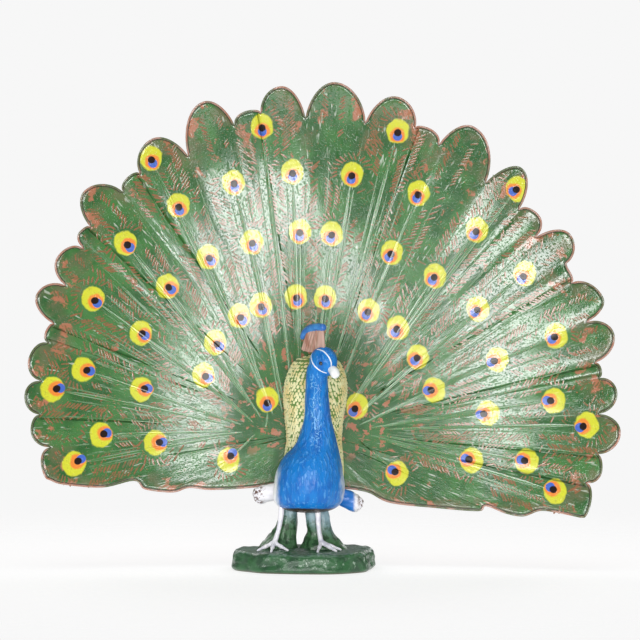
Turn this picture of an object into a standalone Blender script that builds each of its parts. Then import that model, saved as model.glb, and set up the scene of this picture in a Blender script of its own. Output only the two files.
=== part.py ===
# Peacock figurine: a bird on a grassy base with its train raised, moulded in two pieces.
#
# The bird, its legs, the grass clumps behind them and the base are one moulding. The
# train is a second moulding, thin and cupped, that is glued to the bird's flat back.
# X runs to the viewer's right, Y away from the viewer and Z up, and the origin is the
# middle of the base's underside. Sizes are in millimetres, which MM turns into metres.

import math

import bmesh
import bpy

MM = 0.001

# Base
BASE_LENGTH = 31.6
BASE_DEPTH = 25.0
BASE_HEIGHT = 4.0
BASE_CROWN = 0.6
BASE_END_RISE = 0.45
BASE_CHAMFER = 0.6
BASE_SIDES = 48

# Bird, from the base's top to the top of its crest. Its own shapes below are given in
# fiftieths of this height, with heights counted from the base's top.
BIRD_HEIGHT = 50.0
UNIT = BIRD_HEIGHT / 50.0

# Joint between the bird's flat back and the train's flat seat, which both lean back
SEAT_Y = 7.0
SEAT_LEAN = 9.0  # degrees
SEAT_GAP = 0.3
SEAT_HALF_WIDTH = 10.0
SEAT_HALF_HEIGHT = 19.0

# Train, whose reach runs from its centre to its longest feather tip
TRAIN_REACH = 77.4
TRAIN_EDGE_THICKNESS = 1.5
TRAIN_ROOT_THICKNESS = 2.6
TRAIN_CUP = 13.5
TRAIN_RIB = 0.5
SHORT_TAIL_REACH = 30.0
SHORT_TAIL_RISE = 0.8
TRAIN_CENTRE_X = 1.7 * UNIT
TRAIN_CENTRE_Z = BASE_HEIGHT + 25.7 * UNIT

# Feather tips round the train, from the viewer's lower left over the top to the lower
# right: the tip's bearing and reach, then those of the gap that follows it. Bearings
# are degrees from straight up and reaches are hundredths of the train's reach.
FEATHERS = (
    (-96, 76.5, -93, 74),
    (-89, 79, -86, 77),
    (-82, 81.5, -79, 78),
    (-75, 82.5, -71, 79),
    (-69, 80.5, -67, 79.5),
    (-63, 87, -59, 81.5),
    (-55, 87.5, -51, 83.5),
    (-49, 87, -47, 86),
    (-43, 94, -38, 87),
    (-35, 89.5, -33.5, 88.5),
    (-28.5, 95, -24, 86.5),
    (-18, 99, -14, 90.5),
    (-11, 93.5, -9, 92.5),
    (-5, 99, -1, 90),
    (4, 100, 10, 90),
    (14.5, 98.7, 19, 92),
    (21, 93, 24, 90),
    (28, 98.5, 35, 87),
    (38.5, 96, 43, 87),
    (46, 89.5, 49, 85),
    (52.5, 92.5, 56.5, 87),
    (58, 86.5, 60, 85.5),
    (65, 91, 68, 84.5),
    (71.5, 90, 76, 83),
    (77.5, 84, 79, 83),
    (82, 87, 86, 81.5),
    (89.5, 87, 94, 81),
    (97, 82.5, 100, 79),
    (104, 81, 107, 80),
)
STEPS_TO_TIP = 3

# The hem runs on from the last feather, under the bird, to the first one: distances to
# the right of the train's centre and below it, in hundredths of the train's reach.
HEM = (
    (75.5, 23.4),
    (69, 22.2),
    (64.5, 21.9),
    (60, 23.5),
    (55, 22.8),
    (49.7, 20.9),
    (47.5, 22.3),
    (35.5, 21.6),
    (22.6, 20.3),
    (16.2, 17.4),
    (9.4, 16.3),
    (0, 15.3),
    (-9.4, 15),
    (-17.2, 16.1),
    (-28.5, 16.6),
    (-34.6, 16),
    (-39.3, 17.2),
    (-47.2, 16.2),
    (-50.2, 13.8),
    (-59, 15.5),
    (-70, 14.4),
    (-74, 12.9),
)

# Rings of the train's two faces, as shares of the way from its centre to its edge
FRONT_RINGS = (0.22, 0.42, 0.6, 0.76, 0.9, 1.0)
BACK_RINGS = (1.0, 0.72)
SHORT_TAIL_RINGS = ((1.0, 0.0), (0.93, 1.0), (0.4, 1.0))  # share of its reach and rise
SHORT_TAIL_LIMIT = 0.62  # share of the way to the edge that the short tail may take

# Level sections: height, centre in X and Y, half widths in X and Y
BREAST = (
    (8.6, 1.3, -1.6, 2.4, 2.8),
    (8.9, 1.4, -1.6, 4.4, 4.8),
    (9.9, 1.7, -1.8, 6.4, 7.0),
    (11.4, 1.8, -2.0, 7.4, 8.3),
    (14.0, 1.6, -2.0, 7.7, 9.1),
    (17.4, 1.4, -1.7, 7.35, 9.3),
    (20.4, 1.7, -2.0, 6.6, 8.2),
    (23.4, 2.4, -3.0, 5.2, 5.9),
    (26.8, 2.8, -4.0, 3.8, 4.1),
    (30.8, 3.0, -4.6, 3.0, 3.2),
    (34.8, 3.0, -5.2, 2.6, 2.8),
    (38.0, 3.0, -5.9, 2.4, 2.6),
    (40.5, 3.4, -6.8, 2.4, 2.7),
    (42.2, 3.9, -7.3, 1.6, 1.9),
)
BACK_FEATHERS = (
    (13.2, 2.2, 8.0, 6.6, 5.6),
    (17.0, 2.2, 8.0, 6.8, 7.6),
    (20.5, 2.3, 8.0, 6.5, 9.4),
    (24.5, 2.4, 8.0, 6.1, 10.4),
    (28.5, 2.4, 8.0, 6.4, 10.6),
    (33.0, 2.6, 8.0, 6.9, 10.6),
    (36.4, 2.8, 8.0, 6.8, 10.3),
    (39.2, 2.9, 8.0, 6.0, 9.0),
    (41.2, 2.9, 8.0, 4.8, 7.0),
    (42.4, 2.9, 8.0, 3.0, 4.6),
)
LEFT_CLUMP = (
    (-1.2, -5.6, 0.0, 4.9, 4.4),
    (1.0, -5.3, -0.1, 4.2, 3.6),
    (2.6, -4.8, -0.2, 3.5, 3.0),
    (4.3, -4.2, -0.3, 2.9, 2.6),
    (6.6, -3.4, -0.4, 2.1, 2.3),
    (8.8, -3.0, -0.4, 1.75, 2.2),
    (12.0, -2.8, -0.4, 1.7, 2.2),
)
RIGHT_CLUMP = (
    (-1.2, 4.6, 0.2, 6.0, 4.6),
    (1.0, 4.2, 0.1, 4.9, 3.8),
    (2.3, 4.0, 0.0, 3.9, 3.1),
    (4.0, 3.9, -0.2, 3.0, 2.6),
    (6.0, 3.4, -0.3, 2.75, 2.3),
    (8.4, 2.8, -0.4, 2.5, 2.2),
    (12.0, 2.8, -0.4, 2.4, 2.2),
)

# Centrelines: X, Y and height
LEFT_LEG = ((-4.5, -3.4, 11.4), (-4.9, -3.6, 7.0), (-5.4, -4.0, 4.4), (-6.3, -4.5, 1.7))
RIGHT_LEG = ((3.2, -3.4, 11.4), (3.3, -3.6, 7.0), (3.5, -4.0, 4.4), (4.0, -4.5, 1.7))
LEFT_TOES = ((-10.0, -6.4, 0.5), (-6.9, -8.2, 0.3), (-3.1, -6.6, 0.5), (-5.3, -2.0, 0.9))
RIGHT_TOES = ((3.1, -8.2, 0.3), (8.4, -5.6, 0.6), (7.4, -7.4, 0.4), (3.6, -2.0, 0.9))
LEG_RADIUS = 0.75 * UNIT
TOE_RADIUS = 0.55 * UNIT
LEG_SWELL = (1.1, 1.0, 0.85, 1.0)
TOE_SWELL = (1.2, 1.0, 0.7)

LEFT_WING = ((-3.0, 1.6, 13.1), (-7.4, 2.0, 12.5), (-9.6, 2.3, 11.9), (-10.9, 2.4, 11.5))
RIGHT_WING = ((4.0, 1.4, 13.2), (8.8, 1.9, 11.5), (11.4, 2.2, 10.1), (12.8, 2.4, 9.2))
WING_HALF_HEIGHT = 1.95 * UNIT
WING_HALF_DEPTH = 1.5 * UNIT
WING_SWELL = (1.0, 1.0, 1.0, 0.45)

HEAD_CENTRE = (4.0, -7.4, 41.6)
HEAD_LENGTH = 7.6 * UNIT
HEAD_WIDTH = 6.0 * UNIT
HEAD_DEPTH = 6.6 * UNIT
HEAD_TURN = 53.0  # degrees from the viewer's right round to where the beak points
BEAK = ((5.4, -9.3, 40.5), (6.4, -10.5, 39.8), (7.1, -11.3, 38.8), (7.5, -11.7, 38.0))
BEAK_RADIUS = 1.35 * UNIT
BEAK_SWELL = (1.0, 1.0, 0.75, 0.3)

# Crest, in the upright plane that holds the beak: distance towards the beak and height
CREST_THICKNESS = 1.1 * UNIT
CREST_BAND_RADIUS = 0.8 * UNIT
CREST_BACK = -1.5  # from the head's centre to the crest's middle
CREST_PLATE = (
    (2.6, 42.6),
    (2.9, 48.8),
    (-2.2, 48.4),
    (-4.9, 46.6),
    (-4.8, 44.8),
    (-4.0, 43.8),
    (-2.4, 42.8),
)
CREST_BAND = ((2.7, 49.0), (0.2, 49.0), (-2.3, 48.7), (-4.1, 47.9), (-5.2, 46.6))
CREST_BAND_SWELL = (0.9, 1.05, 1.1, 1.0, 0.7)


def plastic(name, colour, roughness):
    """Makes a moulded plastic with one paint colour."""
    material = bpy.data.materials.new(name)
    material.use_nodes = True
    shader = material.node_tree.nodes["Principled BSDF"]
    shader.inputs["Base Color"].default_value = (*colour, 1.0)
    shader.inputs["Roughness"].default_value = roughness
    shader.inputs["Metallic"].default_value = 0.0
    return material


def add_object(name, builder):
    """Turns a closed bmesh into an object whose faces point outwards."""
    bmesh.ops.recalc_face_normals(builder, faces=builder.faces)
    mesh = bpy.data.meshes.new(name)
    builder.to_mesh(mesh)
    builder.free()
    mesh.shade_smooth()
    mesh.set_sharp_from_angle(angle=math.radians(40))
    obj = bpy.data.objects.new(name, mesh)
    bpy.context.scene.collection.objects.link(obj)
    return obj


def bridge(builder, rings, closed_ends=True):
    """Joins rings of points, given in millimetres, with quads and closes the two ends."""
    rows = [[builder.verts.new([c * MM for c in point]) for point in ring] for ring in rings]
    count = len(rows[0])
    for low, high in zip(rows, rows[1:]):
        for i in range(count):
            j = (i + 1) % count
            builder.faces.new((low[i], low[j], high[j], high[i]))
    if closed_ends:
        builder.faces.new(rows[0])
        builder.faces.new(rows[-1])
    return rows


def in_place(point):
    """Puts a point given in the bird's units in its place above the base."""
    x, y, height = point
    return (x * UNIT, y * UNIT, BASE_HEIGHT + height * UNIT)


def leaned(point):
    """Leans a point back with the seat, about the level line through its middle."""
    x, y, z = point
    return (x, y + (z - TRAIN_CENTRE_Z) * math.tan(math.radians(SEAT_LEAN)), z)


def rounded(cosine, power):
    """Bends a circle's sine or cosine towards a squarer oval, for a power below 1."""
    return math.copysign(abs(cosine) ** power, cosine)


def upright_loft(name, rows, sides, power=1.0):
    """Makes a solid through level oval sections."""
    rings = []
    for height, x, y, half_x, half_y in rows:
        ring = []
        for i in range(sides):
            angle = 2 * math.pi * i / sides
            across = half_x * rounded(math.cos(angle), power)
            deep = half_y * rounded(math.sin(angle), power)
            ring.append(in_place((x + across, y + deep, height)))
        rings.append(ring)
    builder = bmesh.new()
    bridge(builder, rings)
    return add_object(name, builder)


def cross(a, b):
    """Gives the cross product of two vectors."""
    x = a[1] * b[2] - a[2] * b[1]
    y = a[2] * b[0] - a[0] * b[2]
    z = a[0] * b[1] - a[1] * b[0]
    return (x, y, z)


def unit_vector(a):
    """Gives a vector's direction."""
    length = math.hypot(*a)
    return [c / length for c in a]


def rod(name, path, radius, swell, sides, flatten=1.0):
    """Makes a solid rod along a path in millimetres; flatten narrows it in depth."""
    rings = []
    for k, here in enumerate(path):
        before = path[max(k - 1, 0)]
        after = path[min(k + 1, len(path) - 1)]
        along = unit_vector([b - a for a, b in zip(before, after)])
        depth = (0.0, 1.0, 0.0) if abs(along[1]) < 0.8 else (1.0, 0.0, 0.0)
        up = unit_vector(cross(along, depth))
        depth = cross(up, along)
        ring = []
        for i in range(sides):
            angle = 2 * math.pi * i / sides
            rise = radius * swell[k] * math.cos(angle)
            deep = radius * swell[k] * flatten * math.sin(angle)
            ring.append([h + rise * u + deep * d for h, u, d in zip(here, up, depth)])
        rings.append(ring)
    builder = bmesh.new()
    bridge(builder, rings)
    return add_object(name, builder)


def base_plan(angle, share):
    """Gives a point of the base's plan: a squarish oval that bulges at its front."""
    wave = 1 + 0.05 * math.sin(3 * angle - math.pi / 4) + 0.015 * math.sin(8 * angle)
    x = BASE_LENGTH / 2 * (rounded(math.cos(angle), 0.75) * wave * share + 0.03)
    y = BASE_DEPTH / 2 * rounded(math.sin(angle), 0.75) * wave * share
    return x, y


def base():
    """Makes the grassy plate: flat below, chamfered at its foot and ridged on top."""
    foot = 1.0 - 2 * BASE_CHAMFER / BASE_DEPTH
    rows = (
        (foot, 0.0, 0.0),
        (1.0, BASE_CHAMFER, 0.0),
        (1.0, 0.65 * BASE_HEIGHT, 0.0),
        (0.965, 0.9 * BASE_HEIGHT, 1.0),
        (0.89, BASE_HEIGHT, 1.0),
        (0.6, BASE_HEIGHT + 0.5 * BASE_CROWN, 0.0),
        (0.25, BASE_HEIGHT + BASE_CROWN, 0.0),
    )
    rings = []
    for share, height, ridged in rows:
        ring = []
        for i in range(BASE_SIDES):
            angle = 2 * math.pi * i / BASE_SIDES
            ridge = BASE_END_RISE * (math.cos(angle) ** 2 + 0.4 * math.sin(8 * angle))
            ring.append((*base_plan(angle, share), height + ridged * ridge))
        rings.append(ring)
    builder = bmesh.new()
    bridge(builder, rings)
    return add_object("bird_on_base", builder)


def leg(side, path, toes):
    """Makes a leg and the four toes that spread from its ankle over the base."""
    points = [in_place(p) for p in path]
    shapes = [rod(f"{side}_leg_cutter", points, LEG_RADIUS, LEG_SWELL, 8)]
    ankle = points[-1]
    start = (ankle[0], ankle[1], ankle[2] + 0.4 * LEG_RADIUS)
    for k, toe in enumerate(toes):
        end = in_place(toe)
        middle = [(a + b) / 2 for a, b in zip(ankle, end)]
        low = (end[0], end[1], end[2] - 0.4 * TOE_RADIUS)
        name = f"{side}_toe_{k}_cutter"
        shapes.append(rod(name, (start, middle, low), TOE_RADIUS, TOE_SWELL, 8))
    return shapes


def beak_plane(along, across):
    """Turns a distance towards the beak and one to the bird's left into X and Y."""
    turn = math.radians(HEAD_TURN)
    x = along * math.cos(turn) + across * math.sin(turn)
    y = across * math.cos(turn) - along * math.sin(turn)
    return x, y


def head():
    """Makes the head, an oval turned towards the beak."""
    builder = bmesh.new()
    bmesh.ops.create_uvsphere(builder, u_segments=20, v_segments=12, radius=0.5)
    centre = in_place(HEAD_CENTRE)
    for vert in builder.verts:
        x, y = beak_plane(vert.co.x * HEAD_LENGTH, vert.co.y * HEAD_WIDTH)
        z = vert.co.z * HEAD_DEPTH
        vert.co = [(c + d) * MM for c, d in zip(centre, (x, y, z))]
    return add_object("head_cutter", builder)


def beak():
    """Makes the short beak that points forward and down."""
    points = [in_place(p) for p in BEAK]
    return rod("beak_cutter", points, BEAK_RADIUS, BEAK_SWELL, 10)


def crest_point(along, height, across=0.0):
    """Gives a point of the crest, which stands on the head in line with the beak."""
    x, y = beak_plane((along + CREST_BACK) * UNIT, across)
    centre = in_place((HEAD_CENTRE[0], HEAD_CENTRE[1], height))
    return (centre[0] + x, centre[1] + y, centre[2])


def crest():
    """Makes the crest: a thin upright fan with a rounded band along its top."""
    half = CREST_THICKNESS / 2
    rings = [[crest_point(a, h, side) for a, h in CREST_PLATE] for side in (-half, half)]
    builder = bmesh.new()
    bridge(builder, rings)
    plate = add_object("crest_cutter", builder)
    path = [crest_point(a, h) for a, h in CREST_BAND]
    band = rod("crest_band_cutter", path, CREST_BAND_RADIUS, CREST_BAND_SWELL, 10)
    return [plate, band]


def wing(side, path):
    """Makes the tip of a lowered wing, which shows below the train beside the thigh."""
    points = [in_place(p) for p in path]
    flat = WING_HALF_DEPTH / WING_HALF_HEIGHT
    return rod(f"{side}_wing_cutter", points, WING_HALF_HEIGHT, WING_SWELL, 12, flat)


def back_block():
    """Makes the block that cuts the bird's back flat where the train seats."""
    reach = BASE_LENGTH + BIRD_HEIGHT
    low = (-reach, SEAT_Y, BASE_HEIGHT + 5.0 * UNIT)
    high = (reach, SEAT_Y + reach, BASE_HEIGHT + reach)
    builder = bmesh.new()
    bmesh.ops.create_cube(builder, size=1.0)
    for vert in builder.verts:
        shares = [c + 0.5 for c in vert.co]
        corner = [a + s * (b - a) for a, s, b in zip(low, shares, high)]
        vert.co = [c * MM for c in leaned(corner)]
    return add_object("back_cutter", builder)


def combine(obj, other, operation):
    """Adds or cuts another shape, which stays in the file as a hidden guide."""
    modifier = obj.modifiers.new(f"{operation.lower()} {other.name}", "BOOLEAN")
    modifier.operation = operation
    modifier.solver = "EXACT"
    modifier.object = other
    other.hide_render = True
    other.display_type = "WIRE"


def bird():
    """Makes the bird and its base as one moulding with a flat back for the train."""
    body = base()
    body.data.materials.append(plastic("blue_painted_plastic", (0.02, 0.2, 0.6), 0.35))
    shapes = [
        upright_loft("left_clump_cutter", LEFT_CLUMP, 14, 0.85),
        upright_loft("right_clump_cutter", RIGHT_CLUMP, 14, 0.85),
        upright_loft("breast_cutter", BREAST, 28),
        upright_loft("back_feathers_cutter", BACK_FEATHERS, 28, 0.87),
        head(),
        beak(),
        wing("left", LEFT_WING),
        wing("right", RIGHT_WING),
    ]
    shapes += crest()
    shapes += leg("left", LEFT_LEG, LEFT_TOES)
    shapes += leg("right", RIGHT_LEG, RIGHT_TOES)
    for shape in shapes:
        combine(body, shape, "UNION")
    combine(body, back_block(), "DIFFERENCE")


def tip_arc(gap, tip):
    """Gives bearing, reach and rib for the arc from a gap up to the next feather's tip.

    A shallow tip is a quarter of an ellipse, and a deep one is leaner. The rib is 0 in
    the gap and 1 on the feather's middle line.
    """
    depth = tip[1] - gap[1]
    lean = 0.5 + 0.25 * min(1.0, max(0.0, (depth - 4.0) / 5.0))
    points = []
    for k in range(STEPS_TO_TIP + 1):
        turn = math.pi / 2 * k / STEPS_TO_TIP
        bearing = tip[0] + math.cos(turn) * (gap[0] - tip[0])
        reach = gap[1] + math.sin(turn) ** (2 * lean) * depth
        points.append((bearing, reach, k / STEPS_TO_TIP))
    return points


def train_edge():
    """Gives the train's edge as bearing in degrees, reach in millimetres and rib."""
    points = []
    x, drop = HEM[-1]
    before = (math.degrees(math.atan2(x, -drop)), math.hypot(x, drop))
    for bearing, reach, gap_bearing, gap_reach in FEATHERS:
        tip = (bearing, reach)
        after = (gap_bearing, gap_reach)
        points += tip_arc(before, tip)[:-1]
        points += tip_arc(after, tip)[:0:-1]
        before = after
    points.append((*before, 0.0))
    for here, there in zip(HEM, HEM[1:]):
        for share in (0.0, 0.5):
            x, drop = [a + share * (b - a) for a, b in zip(here, there)]
            points.append((math.degrees(math.atan2(x, -drop)), math.hypot(x, drop), 0.0))
    return [(b, r / 100 * TRAIN_REACH, rib) for b, r, rib in points]


def cup(x, z):
    """Says how far the train's face comes forward at a place beside its centre."""
    seat = math.hypot(x / SEAT_HALF_WIDTH, z / SEAT_HALF_HEIGHT)
    if seat <= 1.0:
        return 0.0
    beyond = math.hypot(x, z) * (1.0 - 1.0 / seat)
    longest = TRAIN_REACH - SEAT_HALF_HEIGHT
    return TRAIN_CUP * (beyond / longest) ** 2


def train_point(bearing, reach, share, forward):
    """Gives a point of the train on the way to its edge, and forward of its face."""
    angle = math.radians(bearing)
    x = share * reach * math.sin(angle)
    z = share * reach * math.cos(angle)
    y = SEAT_Y + SEAT_GAP - cup(x, z) - forward
    return leaned((TRAIN_CENTRE_X + x, y, TRAIN_CENTRE_Z + z))


def thickness(share):
    """Gives the train's thickness, which thins from its centre to its edge."""
    return TRAIN_ROOT_THICKNESS + share * (TRAIN_EDGE_THICKNESS - TRAIN_ROOT_THICKNESS)


def train_rings():
    """Gives the train's rings, from the front's middle round the edge to the back's."""
    edge = train_edge()
    rings = []
    for share in FRONT_RINGS:
        fade = min(1.0, max(0.0, (share - 0.3) / 0.4))
        rings.append([train_point(b, r, share, TRAIN_RIB * rib * fade) for b, r, rib in edge])
    for share in BACK_RINGS:
        rings.append([train_point(b, r, share, -thickness(share)) for b, r, _ in edge])
    for part, rise in SHORT_TAIL_RINGS:
        ring = []
        for bearing, reach, rib in edge:
            tail = SHORT_TAIL_REACH * (1 + 0.05 * rib)
            share = part * min(tail / reach, SHORT_TAIL_LIMIT)
            back = thickness(share) + rise * SHORT_TAIL_RISE
            ring.append(train_point(bearing, reach, share, -back))
        rings.append(ring)
    return rings


def close_middle(builder, row, point):
    """Closes the middle of a face with a fan of triangles round a point."""
    middle = builder.verts.new([c * MM for c in point])
    for i, vert in enumerate(row):
        builder.faces.new((vert, row[(i + 1) % len(row)], middle))


def train():
    """Makes the train: a cupped plate with ribs, a flat seat and a short tail behind."""
    builder = bmesh.new()
    rows = bridge(builder, train_rings(), closed_ends=False)
    back = TRAIN_ROOT_THICKNESS + SHORT_TAIL_RISE
    close_middle(builder, rows[0], train_point(0.0, 0.0, 0.0, 0.0))
    close_middle(builder, rows[-1], train_point(0.0, 0.0, 0.0, -back))
    obj = add_object("train", builder)
    obj.data.materials.append(plastic("green_painted_plastic", (0.08, 0.25, 0.1), 0.3))


def main():
    """Builds both mouldings in an emptied scene."""
    for obj in list(bpy.data.objects):
        bpy.data.objects.remove(obj)
    bird()
    train()


main()
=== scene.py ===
"""Looks of the painted peacock figurine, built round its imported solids.

The bird and its base are dressed piece by piece, and the raised train is a fine
cupped plate with quills and barbs on it. Sizes are in millimetres unless a name
says otherwise, and MM turns them into metres. X runs to the viewer's right, Y away
from the viewer and Z up, with the origin under the middle of the base.
"""

from __future__ import annotations

import logging
import math
from collections.abc import Sequence
from dataclasses import dataclass, field, replace
from enum import Enum
from functools import reduce

import bmesh
import bpy
import numpy as np
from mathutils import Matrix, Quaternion, Vector, noise
from mathutils.bvhtree import BVHTree

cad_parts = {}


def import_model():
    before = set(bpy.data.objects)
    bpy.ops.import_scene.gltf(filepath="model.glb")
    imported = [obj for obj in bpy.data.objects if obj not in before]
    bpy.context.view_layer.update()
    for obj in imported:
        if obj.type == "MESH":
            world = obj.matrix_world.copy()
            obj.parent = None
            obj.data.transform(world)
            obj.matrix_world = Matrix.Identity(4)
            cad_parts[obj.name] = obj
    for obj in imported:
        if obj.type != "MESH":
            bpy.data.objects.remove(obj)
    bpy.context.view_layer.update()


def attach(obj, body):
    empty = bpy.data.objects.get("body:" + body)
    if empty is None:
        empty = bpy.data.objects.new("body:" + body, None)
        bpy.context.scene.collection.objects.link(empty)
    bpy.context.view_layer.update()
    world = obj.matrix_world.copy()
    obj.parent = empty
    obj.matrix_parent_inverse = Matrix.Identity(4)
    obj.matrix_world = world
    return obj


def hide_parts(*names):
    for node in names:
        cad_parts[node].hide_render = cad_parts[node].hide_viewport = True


LOG = logging.getLogger("peacock")
MM = 0.001

Pair = tuple[float, float]
Point = tuple[float, float, float]
Piece = bpy.types.Object
Array = np.ndarray
Colour = tuple[float, float, float, float]
Table = tuple[tuple[float, ...], ...]


class Slot(Enum):
    """The record's two material slots."""

    BIRD = "bird_paint"
    TRAIN = "train_paint"


class Node(Enum):
    """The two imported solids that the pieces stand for."""

    BIRD = "bird_on_base"
    TRAIN = "train"


class Side(Enum):
    """The viewer's left and right."""

    LEFT = -1
    RIGHT = 1


def display(red: float, green: float, blue: float) -> Colour:
    """Turns a display colour into linear light.

    Args:
        red: The red step, 0 to 255.
        green: The green step, 0 to 255.
        blue: The blue step, 0 to 255.

    Returns:
        The linear colour with full opacity.
    """
    steps = [c / 255 for c in (red, green, blue)]
    linear = [c / 12.92 if c <= 0.04045 else ((c + 0.055) / 1.055) ** 2.4 for c in steps]
    return (linear[0], linear[1], linear[2], 1.0)


# Node trees


class Wire:
    """A number, place or colour on its way through a tree, worked on as in a plain sum."""

    def __init__(self, graph: Graph, socket: bpy.types.NodeSocket) -> None:
        """Keeps the tree and the socket that the value comes from."""
        self.graph = graph
        self.socket = socket

    def work(self, operation: str, *values: Value) -> Wire:
        """Works out an operation, on a number or on all three of a place or colour.

        Args:
            operation: The operation's name.
            *values: What it is worked out on.

        Returns:
            The result.
        """
        if self.socket.type == "VALUE":
            return self.graph.math(operation, *values)
        spread = [(v,) * 3 if isinstance(v, (int, float)) else v for v in values]
        return self.graph.vector(operation, *spread)

    def __add__(self, other: Value) -> Wire:
        """Adds a value."""
        return self.work("ADD", self, other)

    def __sub__(self, other: Value) -> Wire:
        """Takes a value away."""
        return self.work("SUBTRACT", self, other)

    def __rsub__(self, other: Value) -> Wire:
        """Takes this one away from a value."""
        return self.work("SUBTRACT", other, self)

    def __mul__(self, other: Value) -> Wire:
        """Multiplies by a value."""
        return self.work("MULTIPLY", self, other)

    def __truediv__(self, other: Value) -> Wire:
        """Divides by a value."""
        return self.work("DIVIDE", self, other)

    def step(self, start: float, end: float, low: float = 0.0, high: float = 1.0) -> Wire:
        """Goes smoothly from low to high while the number goes from start to end."""
        inputs = {0: self, 1: start, 2: end, 3: low, 4: high}
        return self.graph.out("ShaderNodeMapRange", inputs, interpolation_type="SMOOTHSTEP")


Value = Wire | float | Sequence[float]


class Graph:
    """Adds and joins the nodes of one tree by short calls."""

    def __init__(self, tree: bpy.types.NodeTree) -> None:
        """Keeps the tree's nodes and links."""
        self.nodes = tree.nodes
        self.links = tree.links

    def fill(self, node: bpy.types.Node, values: dict[str | int, object]) -> None:
        """Links a node's inputs to wires, or sets their values.

        Args:
            node: The node.
            values: A wire or a value for each input, by its name or number.
        """
        for key, value in values.items():
            if isinstance(value, Wire):
                self.links.new(value.socket, node.inputs[key])
            else:
                node.inputs[key].default_value = value

    def add(self, kind: str, values: dict | None = None, **settings: object) -> bpy.types.Node:
        """Adds a node.

        Args:
            kind: The node's type name.
            values: What each input, by name or number, is linked or set to.
            **settings: The node's own settings.

        Returns:
            The new node.
        """
        node = self.nodes.new(kind)
        for key, value in settings.items():
            setattr(node, key, value)
        self.fill(node, values or {})
        return node

    def out(
        self, kind: str, values: dict | None = None, output: int | str = 0, **settings: object
    ) -> Wire:
        """Adds a node and gives one of its outputs."""
        return Wire(self, self.add(kind, values, **settings).outputs[output])

    def math(self, operation: str, *values: Value) -> Wire:
        """Gives the result of one operation on numbers."""
        return self.out("ShaderNodeMath", dict(enumerate(values)), operation=operation)

    def vector(self, operation: str, *values: Value) -> Wire:
        """Gives the result of one operation on places, which is a number for a length."""
        output = 1 if operation in ("LENGTH", "DISTANCE") else 0
        return self.out("ShaderNodeVectorMath", dict(enumerate(values)), output, operation=operation)

    def least(self, *values: Value) -> Wire:
        """Gives the least of some numbers."""
        return reduce(lambda one, other: self.math("MINIMUM", one, other), values)

    def most(self, *values: Value) -> Wire:
        """Gives the greatest of some numbers."""
        return reduce(lambda one, other: self.math("MAXIMUM", one, other), values)

    def mix(self, factor: Value, low: Value, high: Value) -> Wire:
        """Mixes two colours by a factor from 0 to 1."""
        return self.out("ShaderNodeMix", {0: factor, 6: low, 7: high}, 2, data_type="RGBA")

    def noise(self, place: Value, scale: float, detail: float = 2.0, rough: float = 0.5) -> Wire:
        """Gives noise of a scale in bumps per millimetre."""
        inputs = {"Vector": place, "Scale": scale, "Detail": detail, "Roughness": rough}
        return self.out("ShaderNodeTexNoise", inputs)

    def attribute(self, name: str, output: str = "Fac") -> Wire:
        """Reads one of the mesh's own attributes."""
        return self.out("ShaderNodeAttribute", None, output, attribute_name=name)

    def place(self) -> Wire:
        """Gives the place on the piece in millimetres."""
        return self.out("ShaderNodeTexCoord", None, "Object") * (1 / MM)

    def axis(self, place: Wire, index: int) -> Wire:
        """Gives one coordinate of a place."""
        return self.out("ShaderNodeSeparateXYZ", {0: place}, index)


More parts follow.
